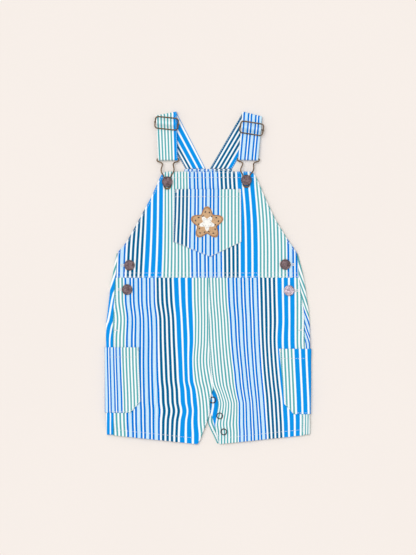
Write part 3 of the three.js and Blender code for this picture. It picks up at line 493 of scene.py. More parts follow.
def curve_through(heights, values):
    """Smooth function of height through a table's column, with no overshoot"""
    order = np.argsort(heights)
    xs, ys = np.asarray(heights, float)[order], np.asarray(values, float)[order]
    steps = np.diff(xs)
    slopes = np.diff(ys) / steps
    tangents = np.zeros(len(xs))
    tangents[0], tangents[-1] = slopes[0], slopes[-1]
    both = slopes[:-1] * slopes[1:]
    total = slopes[:-1] + slopes[1:]
    tangents[1:-1] = np.where(both > 0, 2 * both / np.where(both > 0, total, 1), 0)

    def value(x):
        x = np.clip(x, xs[0], xs[-1])
        i = np.clip(np.searchsorted(xs, x, side="right") - 1, 0, len(steps) - 1)
        h = steps[i]
        t = (x - xs[i]) / h
        return ((1 + 2 * t) * (1 - t) ** 2 * ys[i] + t * (1 - t) ** 2 * h * tangents[i]
                + t * t * (3 - 2 * t) * ys[i + 1] + t * t * (t - 1) * h * tangents[i + 1])

    return value


def curves_of(columns):
    return {name: curve_through(columns["y"], values) for name, values in columns.items() if name != "y"}


FRONT_BIB_EDGE = curves_of(FRONT_BIB)
BACK_BIB_EDGE = curves_of(BACK_BIB)
SIDE_EDGE = curves_of(SIDES)
INNER_EDGE = curves_of(INNER)
PLACKET_EDGE = curves_of(PLACKET)


def near_path(x, y, path):
    """Distance to a path and how far along it the nearest point is"""
    nearest = np.full(np.shape(x), np.inf)
    along = np.zeros(np.shape(x))
    run = 0.0
    for (x1, y1), (x2, y2) in zip(path[:-1], path[1:]):
        dx, dy = x2 - x1, y2 - y1
        length = math.hypot(dx, dy)
        t = np.clip(((x - x1) * dx + (y - y1) * dy) / length**2, 0, 1)
        distance = np.hypot(x - x1 - t * dx, y - y1 - t * dy)
        closer = distance < nearest
        nearest = np.where(closer, distance, nearest)
        along = np.where(closer, run + t * length, along)
        run += length
    return nearest, along


def side_height(y):
    """Height at the side of the leg row that starts at height y at the inseam, because the hem slopes"""
    return np.where(np.asarray(y) > 0, y, np.asarray(y) * (HEM_SIDE_Y / HEM_INNER_Y))


def edge_path(edge, low, high):
    ys = np.linspace(low, high, max(2, int(abs(high - low) / PATH_STEP) + 1))
    return np.column_stack([edge(ys), ys])


def moved_path(path, distance):
    """Path moved to its left by a distance"""
    path = np.asarray(path, float)
    tangent = np.gradient(path, axis=0)
    tangent /= np.linalg.norm(tangent, axis=1, keepdims=True)
    return path + distance * np.column_stack([-tangent[:, 1], tangent[:, 0]])


def seam_path(side):
    """Side seam of a leg, from the waist down"""
    ys = side_height(np.linspace(0.0, HEM_INNER_Y, SEAM_POINTS))
    return np.column_stack([SIDE_EDGE[f"seam_{side}"](ys), ys])


def hem_path(side):
    inner = float(INNER_EDGE[f"front_{side}"](HEM_INNER_Y))
    outer = float(SIDE_EDGE[f"seam_{side}"](HEM_SIDE_Y))
    return np.linspace((inner, HEM_INNER_Y), (outer, HEM_SIDE_Y), HEM_POINTS)


ARMHOLES = [edge_path(FRONT_BIB_EDGE[side], SIDE_OPENING_Y, ARMHOLE_TOP_Y) for side in SIGN]
BIB_TOP = np.array([(FRONT_BIB[side][-1], BIB_TOP_Y) for side in SIGN])
WAIST = np.array([(FRONT_BIB[side][0], WAIST_Y) for side in SIGN])
CENTRE_SEAM = edge_path(INNER_EDGE["front_right"], 0, CENTRE_SEAM_FOOT_Y)
FRONT_INSEAM = {side: edge_path(INNER_EDGE[f"front_{side}"], CROTCH_Y, HEM_INNER_Y) for side in SIGN}
HEMS = {side: hem_path(side) for side in SIGN}
SEAMS = {side: seam_path(side) for side in SIGN}

# Turned edges and seam allowances stand a little above the cloth: path, reach and rise.
FRONT_BANDS = [
    *[(path, 7.0, 0.3) for path in ARMHOLES],
    (BIB_TOP, 9.0, 0.35),
    (WAIST, 6.8, 0.3),
    *[(HEMS[side], HEM_ROW, 0.4) for side in SIGN],
    *[(FRONT_INSEAM[side], 7.0, 0.3) for side in SIGN],
    *[(SEAMS[side], 2.4, 0.2) for side in SIGN],
]
BAND_STEP = 0.9                # half of the soft step down from such an edge
# Sewing draws the cloth in a little along these lines: path and depth.
PUCKERS = [
    *[(path, 0.16) for path in ARMHOLES],
    (WAIST + (0, 6.6), 0.2),
    *[(HEMS[side] + (0, HEM_ROW), 0.22) for side in SIGN],
    (CENTRE_SEAM, 0.22),
    *[(SEAMS[side], 0.24) for side in SIGN],
]
PUCKER_WAVE = 7.4
PUCKER_REACH = 4.5
SETTLE_REACH = 15              # how far in from the hems the front sinks towards the back
SETTLE_DEPTH = (0.5, 0.45)     # how far it sinks there, and how much more or less from place to place
RIPPLE = (0.10, 0.06)          # height of the slow waves and of the quicker ones


def lift(x, y):
    across = smooth(*LIFT_ACROSS, np.abs(x))
    return ON_TOP * across * smooth(*LIFT_UPPER, y) * (1 - smooth(*LIFT_LOWER, y))


def folds(x, y, listed):
    total = np.zeros(np.shape(x))
    for _, line, spread, height in listed:
        total = total + height * np.exp(-((near_path(x, y, line)[0] / spread) ** 2))
    return total


def ripple(x, y):
    """Slow unevenness of cloth that was pressed and handled"""
    slow, quick = RIPPLE
    return (slow * np.sin(x / 17.0 + 1.7 * np.sin(y / 41.0)) * np.sin(y / 33.0 + 0.9)
            + quick * np.sin(x / 7.3 + y / 29.0 + 2.0 * np.sin(y / 23.0)))


def puckers(x, y):
    total = np.zeros(np.shape(x))
    for path, depth in PUCKERS:
        distance, along = near_path(x, y, path)
        wave = np.sin(2 * np.pi * along / PUCKER_WAVE + 1.6 * np.sin(along / 9.1)) + 0.5 * np.sin(along / 2.3)
        total = total + depth * wave * np.exp(-((distance / PUCKER_REACH) ** 2))
    return total


def settle(x, y):
    """How far the front sinks towards the back along its hems, more in some places than in others"""
    distance = np.minimum(*[near_path(x, y, path)[0] for path in HEMS.values()])
    depth, unevenness = SETTLE_DEPTH
    uneven = depth + unevenness * np.sin(x / 12.0 + 1.4 * np.sin(x / 27.0))
    return uneven * (1 - smooth(0, SETTLE_REACH, distance))


def back_middle(x, y):
    return BACK_Z + lift(x, y) + folds(x, y, BACK_FOLDS)


def front_middle(x, y):
    height = FRONT_Z + lift(x, y) + folds(x, y, FRONT_FOLDS) + ripple(x, y) + puckers(x, y) - settle(x, y)
    return np.maximum(height, back_middle(x, y) + CLOTH + SEAM)


def front_rise(x, y):
    rise = np.zeros(np.shape(x))
    for path, reach, height in FRONT_BANDS:
        distance = near_path(x, y, path)[0]
        rise = np.maximum(rise, height * (1 - smooth(reach - BAND_STEP, reach + BAND_STEP, distance)))
    return rise


def front_top(x, y):
    return front_middle(x, y) + CLOTH / 2 + front_rise(x, y)


def face_of(middle, rise=0.0):
    """Upper face of cloth about a middle surface, raised where an edge is turned"""
    return lambda x, y: middle(x, y) + CLOTH / 2 + rise


# The materials

def linear(colour):
    channel = np.array(colour, float) / 255
    return tuple(np.where(channel <= 0.04045, channel / 12.92, ((channel + 0.055) / 1.055) ** 2.4))


def shown(colour):
    """Colour that a surface facing up needs, so that it shows in the studio as the given one"""
    return tuple(np.array(linear(colour)) / STUDIO_LIGHT)


def perceived(colour):
    """The same as a share of white in even steps for the eye, in which dyes bleed into one another"""
    return tuple(np.array(shown(colour)) ** (1 / SCREEN_GAMMA))


class Nodes:
    """Short way to write a material's node tree"""

    def __init__(self, name):
        self.material = bpy.data.materials.new(name)
        self.material.use_nodes = True
        self.tree = self.material.node_tree
        self.shader = self.tree.nodes["Principled BSDF"]

    def add(self, kind, inputs=(), **settings):
        node = self.tree.nodes.new(kind)
        for key, value in settings.items():
            setattr(node, key, value)
        for key, value in dict(inputs).items():
            self.put(node.inputs[key], value)
        return node

    def put(self, socket, value):
        if isinstance(value, bpy.types.NodeSocket):
            self.tree.links.new(value, socket)
        else:
            socket.default_value = value

    def math(self, operation, *values):
        return self.add("ShaderNodeMath", enumerate(values), operation=operation).outputs[0]

    def mix(self, share, first, second, blend="MIX"):
        node = self.add("ShaderNodeMix", data_type="RGBA", blend_type=blend)
        self.put(node.inputs["Factor"], share)
        for socket, value in zip([s for s in node.inputs if s.type == "RGBA"], (first, second)):
            self.put(socket, value if isinstance(value, bpy.types.NodeSocket) else (*value, 1))
        return [s for s in node.outputs if s.type == "RGBA"][0]

    def ramp(self, value, low, high, start=0.0, end=1.0):
        node = self.add("ShaderNodeMapRange", {"Value": value, "From Min": low, "From Max": high,
                                               "To Min": start, "To Max": end})
        node.interpolation_type = "SMOOTHSTEP"
        return node.outputs[0]

    def noise(self, scale, detail=2.0):
        place = self.add("ShaderNodeTexCoord").outputs["Object"]
        node = self.add("ShaderNodeTexNoise", {"Scale": scale, "Detail": detail, "Vector": place})
        return node.outputs["Fac"]

    def bump(self, height, strength, distance):
        node = self.add("ShaderNodeBump", {"Height": height, "Strength": strength, "Distance": distance})
        self.put(self.shader.inputs["Normal"], node.outputs["Normal"])

    def set(self, **sockets):
        for key, value in sockets.items():
            self.put(self.shader.inputs[key.replace("_", " ")], value)


def striped_cotton():
    """Woven stripes, from the distance across the cut cloth that the mesh carries as its first coordinate"""
    n = Nodes("striped_cotton_woven")
    cut = n.add("ShaderNodeUVMap", uv_map="cut").outputs[0]
    split = n.add("ShaderNodeSeparateXYZ", {0: cut})
    across = n.math("MULTIPLY", split.outputs[0], 1 / MM)
    along = n.math("MULTIPLY", split.outputs[1], 1 / MM)
    wander = n.math("MULTIPLY", n.math("SUBTRACT", n.noise(900.0, detail=1.0), 0.5), YARN_WANDER)
    place = n.math("WRAP", n.math("ADD", across, wander), REPEAT - WRAP_MARGIN, -WRAP_MARGIN)
    warp = n.math("SINE", n.math("MULTIPLY", across, 2 * math.pi / WARP_PITCH))
    weft = n.math("SINE", n.math("MULTIPLY", along, 2 * math.pi / WEFT_PITCH))
    weave = n.math("MULTIPLY", warp, weft)
    colour = perceived(WHITE_YARN)
    for stripe in STRIPES.values():
        offset = n.math("SUBTRACT", place, stripe["start"])
        count = n.math("ROUND", n.math("DIVIDE", offset, stripe["pitch"]))
        kept = n.math("MINIMUM", n.math("MAXIMUM", count, 0.0), stripe["count"] - 1.0)
        distance = n.math("ABSOLUTE", n.math("SUBTRACT", offset, n.math("MULTIPLY", kept, stripe["pitch"])))
        half = stripe["width"] / 2
        share = n.ramp(distance, half - EDGE_BLEED, half + EDGE_BLEED, 1.0, 0.0)
        colour = n.mix(share, colour, perceived(stripe["colour"]))
    colour = n.add("ShaderNodeGamma", {"Color": colour, "Gamma": SCREEN_GAMMA}).outputs[0]
    fading = n.ramp(n.noise(26.0, detail=3.0), 0.35, 0.75, start=0.0, end=0.06)
    worn = n.mix(fading, colour, FADED, "MULTIPLY")
    between_yarns = n.ramp(weave, -1.0, -0.3, start=0.5, end=0.0)
    woven = n.mix(between_yarns, worn, YARN_SHADE, "MULTIPLY")
    n.set(Base_Color=woven, Roughness=0.95, Sheen_Weight=0.01, Sheen_Roughness=0.5, Specular_IOR_Level=0.02)
    relief = n.math("ADD", n.math("MULTIPLY", weave, 0.5), n.noise(1500.0, detail=2.0))
    n.bump(relief, strength=0.35, distance=0.00012)
    return n.material


def felt(name, colour, nap):
    n = Nodes(name)
    fibres = n.noise(700.0, detail=4.0)
    patches = n.noise(110.0, detail=3.0)
    base = n.mix(n.ramp(fibres, 0.3, 0.7), shown(colour), shown(nap))
    n.set(Base_Color=n.mix(n.ramp(patches, 0.35, 0.7, 0.0, 0.25), base, shown(nap)),
          Roughness=0.95, Sheen_Weight=0.15, Sheen_Roughness=0.6, Specular_IOR_Level=0.1)
    n.bump(n.math("ADD", fibres, n.math("MULTIPLY", patches, 0.7)), strength=0.9, distance=0.0005)
    return n.material


def thread(name, colour):
    n = Nodes(name)
    twist = n.noise(2600.0, detail=1.0)
    shade = tuple(0.86 * c for c in shown(colour))
    n.set(Base_Color=n.mix(n.ramp(twist, 0.35, 0.65), shown(colour), shade),
          Roughness=0.7, Sheen_Weight=0.3, Specular_IOR_Level=0.3)
    n.bump(twist, strength=0.5, distance=0.0001)
    return n.material


def antique_metal(name, dark, light, grain, rough):
    """Brass that was darkened and then rubbed: dark in its grain, lighter where it wears"""
    n = Nodes(name)
    specks = n.noise(grain, 4.0)
    clouds = n.noise(240.0, detail=2.0)
    wear = n.math("ADD", n.math("MULTIPLY", specks, 0.7), n.math("MULTIPLY", clouds, 0.3))
    share = n.ramp(wear, 0.38, 0.62)
    n.set(Base_Color=n.mix(share, shown(dark), shown(light)), Metallic=0.75, Specular_IOR_Level=0.4,
          Roughness=n.ramp(specks, 0.3, 0.7, rough + 0.12, rough - 0.06))
    n.bump(specks, strength=0.5, distance=0.00015)
    return n.material


def floor_paper():
    n = Nodes("backdrop_paper")
    unevenness = n.ramp(n.noise(3.0, detail=2.0), 0.3, 0.7, start=0.0, end=0.25)
    paper = n.mix(unevenness, *(linear(colour) for colour in PAPER))
    n.set(Base_Color=paper, Roughness=0.95, Specular_IOR_Level=0.1)
    return n.material


COTTON = striped_cotton()
WHITE_THREAD = thread("white_thread", (250, 252, 255))
DARK_THREAD = thread("dark_thread", (34, 26, 24))
CARAMEL_THREAD = thread("caramel_thread", (188, 132, 82))
TAN_FELT = felt("tan_felt", (190, 148, 108), (218, 180, 140))
CREAM_FELT = felt("cream_felt", (244, 240, 232), (255, 253, 248))
WIRE_METAL = antique_metal("antique_wire_metal", (72, 54, 40), (146, 118, 88), grain=1500.0, rough=0.45)
BUTTON_METAL = antique_metal("antique_button_metal", (62, 48, 50), (138, 116, 120), grain=1900.0, rough=0.5)
PALE_METAL = antique_metal("rubbed_button_metal", (96, 78, 88), (222, 204, 216), grain=1700.0, rough=0.42)
RING_METAL = antique_metal("antique_ring_metal", (44, 30, 34), (96, 76, 78), grain=1500.0, rough=0.45)


# Meshes

def to_frame(points):
    return (np.asarray(points, float).reshape(-1, 3) + (0, SHIFT_Y, 0)) * MM


def make_piece(name, points, faces, material, slot, cut=None, replaced=()):
    """Mesh piece on the root body. cut is each point's place on the cut cloth, in millimetres."""
    mesh = bpy.data.meshes.new(name)
    mesh.from_pydata(to_frame(points).tolist(), [], faces)
    mesh.polygons.foreach_set("use_smooth", [True] * len(mesh.polygons))
    if cut is not None:
        corners = np.empty(len(mesh.loops), dtype=np.int32)
        mesh.loops.foreach_get("vertex_index", corners)
        layer = mesh.uv_layers.new(name="cut")
        layer.data.foreach_set("uv", (np.asarray(cut, float).reshape(-1, 2)[corners] * MM).ravel())
    mesh.update()
    piece = bpy.data.objects.new(name, mesh)
    bpy.context.scene.collection.objects.link(piece)
    mesh.materials.append(material)
    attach(piece, "root")
    if replaced:
        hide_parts(*replaced)
    return piece


def spaced(low, high, step=GRID):
    """Places from low to high, closer together at both ends, where the edge is rounded"""
    length = high - low
    middle = np.linspace(RIM[-1], abs(length) - RIM[-1], max(2, int(abs(length) / step)))[1:-1]
    return low + np.sign(length) * np.concatenate([RIM, middle, abs(length) - np.array(RIM[::-1])])


def shares(length, step=GRID):
    return spaced(0.0, length, step) / length


def run_along(points, axis=0):
    """Distance along lines of points, from where each line starts"""
    steps = np.linalg.norm(np.diff(points, axis=axis), axis=-1)
    return np.insert(np.cumsum(steps, axis=axis), 0, 0, axis=axis)


def edge_distance(grid, sewn):
    """Distance of each grid point to the nearest free edge of the grid, along its row or column.
    sewn names edges that don't count: first_row, last_row, first_column, last_column."""
    nearest = np.full(grid.shape[:2], np.inf)
    for axis, line in ((0, "row"), (1, "column")):
        run = run_along(grid, axis)
        if f"first_{line}" not in sewn:
            nearest = np.minimum(nearest, run)
        if f"last_{line}" not in sewn:
            nearest = np.minimum(nearest, np.take(run, [-1], axis=axis) - run)
    return nearest


def normals_of(grid):
    across = np.gradient(grid, axis=1)
    along = np.gradient(grid, axis=0)
    normal = np.cross(across, along)
    return normal / np.maximum(np.linalg.norm(normal, axis=2, keepdims=True), 1e-9)


def shell(node, grid, across, along=None, under=None, rise=0.0, up=True, sewn=()):
    """Cloth about a grid of middle points, with rounded edges, except at its sewn ones. across and along are
    each point's place on the cut cloth, and under takes the place of across on the lower face."""
    rows, columns = grid.shape[:2]
    normal = normals_of(grid) * (1 if up else -1)
    half = CLOTH / 2
    inset = np.clip(edge_distance(grid, sewn) / (ROUNDING * half), 0, 1)
    round_off = np.maximum(np.sqrt(1 - (1 - inset) ** 2), EDGE_LEAST)
    upper = grid + normal * (half * round_off + rise * round_off)[..., None]
    lower = grid - normal * (half * round_off)[..., None]
    points = np.concatenate([upper.reshape(-1, 3), lower.reshape(-1, 3)])
    along = grid[..., 1] if along is None else along
    under = across if under is None else under
    places = np.concatenate([np.dstack([face, along]).reshape(-1, 2) for face in (across, under)])
    index = np.arange(rows * columns).reshape(rows, columns)
    below = index + rows * columns

    def quads(a, b, c, d):
        return np.stack([a.ravel(), b.ravel(), c.ravel(), d.ravel()], axis=1)

    faces = [
        quads(index[:-1, :-1], index[:-1, 1:], index[1:, 1:], index[1:, :-1]),
        quads(below[:-1, :-1], below[1:, :-1], below[1:, 1:], below[:-1, 1:]),
        quads(index[1:, 0], below[1:, 0], below[:-1, 0], index[:-1, 0]),
        quads(index[:-1, -1], below[:-1, -1], below[1:, -1], index[1:, -1]),
        quads(index[0, :-1], below[0, :-1], below[0, 1:], index[0, 1:]),
        quads(index[-1, 1:], below[-1, 1:], below[-1, :-1], index[-1, :-1]),
    ]
    faces = np.concatenate(faces)
    if not up:
        faces = faces[:, ::-1]
    return make_piece(f"{node}_cloth", points, faces.tolist(), COTTON, "striped_cotton", places, [node])


def stripe_place(name):
    """Distance across the repeat of a named stripe's middle"""
    turn = -1 if name.startswith("left_") else 0
    kind, number = name.removeprefix("left_").rsplit("_", 1)
    return STRIPES[kind]["start"] + (int(number) - 1) * STRIPES[kind]["pitch"] + turn * REPEAT


def cut_of(panel, x, y):
    """Distance across the cut cloth at places on a panel, from the stripes read in the photograph"""
    columns = GRAIN[panel]
    names = [name for name in columns if name != "y"]
    lines = [curve_through(photo_y(columns["y"]), photo_x(columns[name]))(y) for name in names]
    places = [stripe_place(name) for name in names]
    for i in range(len(names) - 1):
        stretch = mix(places[i], places[i + 1], (x - lines[i]) / (lines[i + 1] - lines[i]))
        result = np.where(x >= lines[i], stretch, result) if i else stretch
    return result


def around(count):
    return np.arange(count) * 2 * np.pi / count


def ring_faces(rings, sides, closed=False):
    """Faces between rings of points, and a cap at both ends unless the last ring meets the first"""
    faces = []
    for i in range(rings if closed else rings - 1):
        j = (i + 1) % rings
        for k in range(sides):
            m = (k + 1) % sides
            faces.append((i * sides + k, i * sides + m, j * sides + m, j * sides + k))
    if not closed:
        faces.append(tuple(range(sides - 1, -1, -1)))
        faces.append(tuple((rings - 1) * sides + k for k in range(sides)))
    return faces


def tube(points, radius, sides=12, closed=False):
    """Points and faces of a round wire along a path"""
    path = np.asarray(points, float)
    if closed:
        tangent = np.roll(path, -1, axis=0) - np.roll(path, 1, axis=0)
    else:
        tangent = np.gradient(path, axis=0)
    tangent /= np.linalg.norm(tangent, axis=1, keepdims=True)
    side = np.cross((0, 0, 1), tangent)
    side /= np.maximum(np.linalg.norm(side, axis=1, keepdims=True), 1e-9)
    top = np.cross(tangent, side)
    angles = around(sides)[None, :, None]
    radii = np.broadcast_to(radius, len(path))[:, None, None]
    ring = path[:, None] + radii * (np.cos(angles) * side[:, None] + np.sin(angles) * top[:, None])
    return ring.reshape(-1, 3), ring_faces(len(path), sides, closed)


def joined(parts):
    """One list of points and faces out of several"""
    points, faces, start = [], [], 0
    for part_points, part_faces in parts:
        points.append(part_points)
        faces += [tuple(start + i for i in face) for face in part_faces]
        start += len(part_points)
    return np.concatenate(points), faces


def stitch_between(start, end, radius):
    share, size, height = np.array(STITCH_FORM).T
    path = start + share[:, None] * (end - start)
    path[:, 2] += height
    return tube(path, size * radius, sides=4)


def row_of_stitches(path, top, length=STITCH, gap=STITCH_GAP, radius=THREAD_R):
    """Running stitches along a path on the cloth whose upper face is top(x, y)"""
    path = np.asarray(path, float)
    run = run_along(path)
    count = int(run[-1] / (length + gap))
    starts = (np.arange(count) + 0.5) * run[-1] / max(count, 1) - length / 2
    ends = []
    for offset in (0, length):
        x, y = (np.interp(starts + offset, run, path[:, i]) for i in (0, 1))
        ends.append(np.column_stack([x, y, top(x, y) + radius * ROW_STANDS]))
    return [stitch_between(a, b, radius) for a, b in zip(*ends)]


def bar_tack(x, y, top, tilt):
    """Close zigzag that holds the end of a seam"""
    tilt = math.radians(tilt)
    bars = []
    for share in np.linspace(-0.5, 0.5, TACK_STITCHES) * TACK_LENGTH:
        cx, cy = x + share * math.cos(tilt), y + share * math.sin(tilt)
        dx, dy = -TACK_HALF * math.sin(tilt), TACK_HALF * math.cos(tilt)
        z = float(top(np.array(cx), np.array(cy))) + THREAD_R
        bars.append(stitch_between(np.array([cx - dx, cy - dy, z]), np.array([cx + dx, cy + dy, z]), TACK_R))
    return bars


def buttonhole(x, y, top):
    """Two close rows of satin stitch along a slit"""
    bars = []
    for side in (-1, 1):
        near, far = (y + side * out for out in BUTTONHOLE_BAR)
        for share in np.linspace(-0.5, 0.5, SATIN_STITCHES):
            cx = x + share * BUTTONHOLE_LENGTH
            z = float(top(np.array(cx), np.array(y))) + THREAD_R * SATIN_STANDS
            bars.append(stitch_between(np.array([cx, near, z]), np.array([cx, far, z]), SATIN_R))
    return bars


def sew(node, stitches):
    points, faces = joined(stitches)
    return make_piece(f"{node}_thread", points, faces, WHITE_THREAD, "striped_cotton")


# The cloth

def panel_grid(edges, heights, columns, middle):
    """Grid of points between a left and a right edge, at each height"""
    left, right = edges["left"](heights), edges["right"](heights)
    x = left[:, None] + columns[None, :] * (right - left)[:, None]
    y = np.broadcast_to(heights[:, None], x.shape)
    return np.dstack([x, y, middle(x, y)])


def front_bib():
    heights = spaced(WAIST_Y + SEWN_GAP, BIB_TOP_Y)
    grid = panel_grid(FRONT_BIB_EDGE, heights, shares(MESH_ACROSS["front_bib"]), front_middle)
    x, y = grid[..., 0], grid[..., 1]
    cloth = shell("front_bib", grid, cut_of("front_bib", x, y), rise=front_rise(x, y), sewn=["first_row"])
    rows = []
    for path, sign in zip(ARMHOLES, SIGN.values()):
        rows += row_of_stitches(moved_path(path, sign * EDGE_ROW), front_top)
    for left, right, y in BIB_ROWS:
        rows += row_of_stitches([(left, y), (right, y)], front_top)
    for side, sign in SIGN.items():
        x, y = SIDE_BUTTONS[f"side_button_upper_{side}"]
        rows += buttonhole(x + sign * BUTTONHOLE_OUT, y, front_top)
    sewn = sew("front_bib", rows)


def back_bib():
    heights = spaced(SIDE_OPENING_Y + SEAM / 2, BACK_TOP_Y)
    grid = panel_grid(BACK_BIB_EDGE, heights, shares(MESH_ACROSS["back_bib"]), back_middle)
    x, y = grid[..., 0], grid[..., 1]
    rise = BACK_BAND * smooth(BACK_TOP_Y - BACK_HEM[1], BACK_TOP_Y - BACK_HEM[0], y)
    cloth = shell("back_bib", grid, cut_of("back_bib", x, y), rise=rise)
    path = [(x, BACK_TOP_Y - EDGE_ROW) for x in BACK_ROW]
    sewn = sew("back_bib", row_of_stitches(path, face_of(back_middle, BACK_BAND)))


def front_leg(side):
    sign = SIGN[side]
    node = f"front_leg_{side}"
    inner_y = spaced(WAIST_Y - SEWN_GAP, HEM_INNER_Y)
    inner_x = INNER_EDGE[f"front_{side}"](inner_y) + sign * SEWN_GAP
    seam_y = side_height(inner_y)
    seam_x = SIDE_EDGE[f"seam_{side}"](seam_y) - sign * SEWN_GAP
    columns = shares(MESH_ACROSS["front_leg"])
    x = mix(inner_x[:, None], seam_x[:, None], columns)
    y = mix(inner_y[:, None], seam_y[:, None], columns)
    grid = np.dstack([x, y, front_middle(x, y)])
    cloth = shell(node, grid, cut_of(node, x, y), rise=front_rise(x, y), up=side == "left",
                  sewn=["first_row", "last_column"])
    rows = row_of_stitches(HEMS[side][1:-1] + (0, HEM_ROW), front_top)
    rows += row_of_stitches(moved_path(SEAMS[side][2:-1], -sign * EDGE_ROW), front_top)
    rows += row_of_stitches(moved_path(FRONT_INSEAM[side][2:-1], sign * EDGE_ROW), front_top)
    if side == "right":
        rows += row_of_stitches(moved_path(CENTRE_SEAM, EDGE_ROW), front_top)
    button_x, button_y = SIDE_BUTTONS[f"side_button_lower_{side}"]
    rows += buttonhole(button_x + sign * BUTTONHOLE_OUT, button_y, front_top)
    rows += bar_tack(sign * HIP_TACK[0], HIP_TACK[1], front_top, sign * HIP_TACK_TILT)
    sewn = sew(node, rows)


def side_turn(side, y):
    """Where the cloth of a leg turns over at the side: the turn's middle and radius"""
    sign = SIGN[side]
    fold_x = float(SIDE_EDGE[f"fold_{side}"](y))
    x, height = np.array(fold_x - sign * BESIDE_FOLD), np.array(float(y))
    high, low = float(front_middle(x, height)), float(back_middle(x, height))
    radius = (high - low) / 2
    return sign, fold_x - sign * (radius + SOLID_CLOTH / 2), (high + low) / 2, radius


def back_leg_row(side, inner_y):
    """One line round the back of a leg: from the inseam over the ground, round the fold, over to the seam"""
    inner_y = max(inner_y, HEM_INNER_Y + 1)
    side_y = float(side_height(inner_y))
    sign, turn_x, turn_z, radius = side_turn(side, side_y)
    inner_x = float(INNER_EDGE[f"back_{side}"](min(inner_y, WAIST_Y))) + sign * SEAM / 2
    seam_x = float(SIDE_EDGE[f"seam_{side}"](side_y)) + sign * SEAM / 2
    places = shares(MESH_ACROSS["back_leg"])[:-len(RIM) + 1]
    x = mix(inner_x, turn_x, places / places[-1])
    y = mix(inner_y, side_y, (x - inner_x) / (turn_x - inner_x))
    ground = np.column_stack([x, y, back_middle(x, y)])
    wrapped = sign * (turn_x - seam_x)
    whole = float(smooth(*WRAP_WHOLE, wrapped))
    angles = np.linspace(-np.pi / 2, mix(WRAP_START, np.pi / 2, whole), TURN_STEPS)[1:]
    level = np.full(len(angles), side_y)
    turned = np.column_stack([turn_x + sign * radius * np.cos(angles), level,
                              turn_z + radius * np.sin(angles)])
    width = max(wrapped, WRAP_LEAST)
    if width > 2 * RIM[-1]:
        near_turn = np.linspace(0, 1, OVER_LINES[0])[1:-1] * (width - RIM[-1]) / width
        places = np.concatenate([near_turn, 1 - np.array(RIM[::-1]) / width])
    else:
        places = np.linspace(0, 1, OVER_LINES[1])[1:]
    over_x = turned[-1, 0] - sign * width * places
    level = np.full(len(places), side_y)
    free_z = turned[-1, 2] + OVER_RISE * places
    over_z = mix(free_z, front_middle(over_x, level), whole * smooth(0, OVER_REACH, places))
    return np.concatenate([ground, turned, np.column_stack([over_x, level, over_z])])


def back_leg(side):
    node = f"back_leg_{side}"
    inner_y = spaced(SIDE_OPENING_Y - SEAM / 2, HEM_INNER_Y)
    grid = np.stack([back_leg_row(side, y) for y in inner_y])
    from_seam = run_along(grid[:, ::-1], axis=1)[:, ::-1]
    columns = BACK_LEG_CUT[side]
    at_seam, outwards = (curve_through(photo_y(columns["y"]), columns[name])(grid[..., 1])
                         for name in ("at_seam", "outwards"))
    near = np.minimum(from_seam, WRAP_REACH)
    across = at_seam + outwards * near + np.sign(outwards) * (from_seam - near)
    if side == "right":
        edge = grid[..., 0] - INNER_EDGE["back_right"](np.minimum(grid[..., 1], WAIST_Y))
        beside_edge = stripe_place("green_8") + PAST_GREEN - edge
        across = mix(beside_edge, across, smooth(*INSEAM_CUT, edge))
    cloth = shell(node, grid, across, up=side == "left")
    inseam = edge_path(INNER_EDGE[f"back_{side}"], *BACK_INSEAM_ROW)
    sewn = sew(node, row_of_stitches(moved_path(inseam, SIGN[side] * EDGE_ROW), face_of(back_middle)))


def crotch_placket():
    def middle(x, y):
        return np.full(np.shape(x), BACK_Z + ON_TOP)

    grid = panel_grid(PLACKET_EDGE, spaced(*PLACKET["y"][[0, -1]]), shares(MESH_ACROSS["placket"]), middle)
    cloth = shell("crotch_placket", grid, cut_of("crotch_placket", grid[..., 0], grid[..., 1]), up=False)
    edge = edge_path(PLACKET_EDGE["left"], *PLACKET_ROW)
    sewn = sew("crotch_placket", row_of_stitches(moved_path(edge, EDGE_ROW), face_of(middle)))


def pocket_lip(distance, across):
    """How far a pocket's mouth gapes: distance from its upper edge, across from 0 to 1"""
    return LIP_RISE * (1 - smooth(0, LIP_REACH, distance)) * np.sin(np.pi * np.clip(across, 0, 1))


def bib_pocket_point(share, down):
    """Place on the bib pocket, share from left to right and down from its top to its foot"""
    left, right, corner_y = BIB_POCKET_CORNERS
    tip_x, tip_y = BIB_POCKET_TIP
    foot_x = mix(left, right, share)
    foot_y = np.where(foot_x < tip_x, mix(corner_y, tip_y, (foot_x - left) / (tip_x - left)),
                      mix(tip_y, corner_y, (foot_x - tip_x) / (right - tip_x)))
    top_left, top_right, top_y = BIB_POCKET_TOP
    return mix(mix(top_left, top_right, share), foot_x, down), mix(top_y, foot_y, down)


def bib_pocket_middle(x, y):
    left, right, top_y = BIB_POCKET_TOP
    return front_middle(x, y) + ON_TOP + pocket_lip(top_y - y, (x - left) / (right - left))


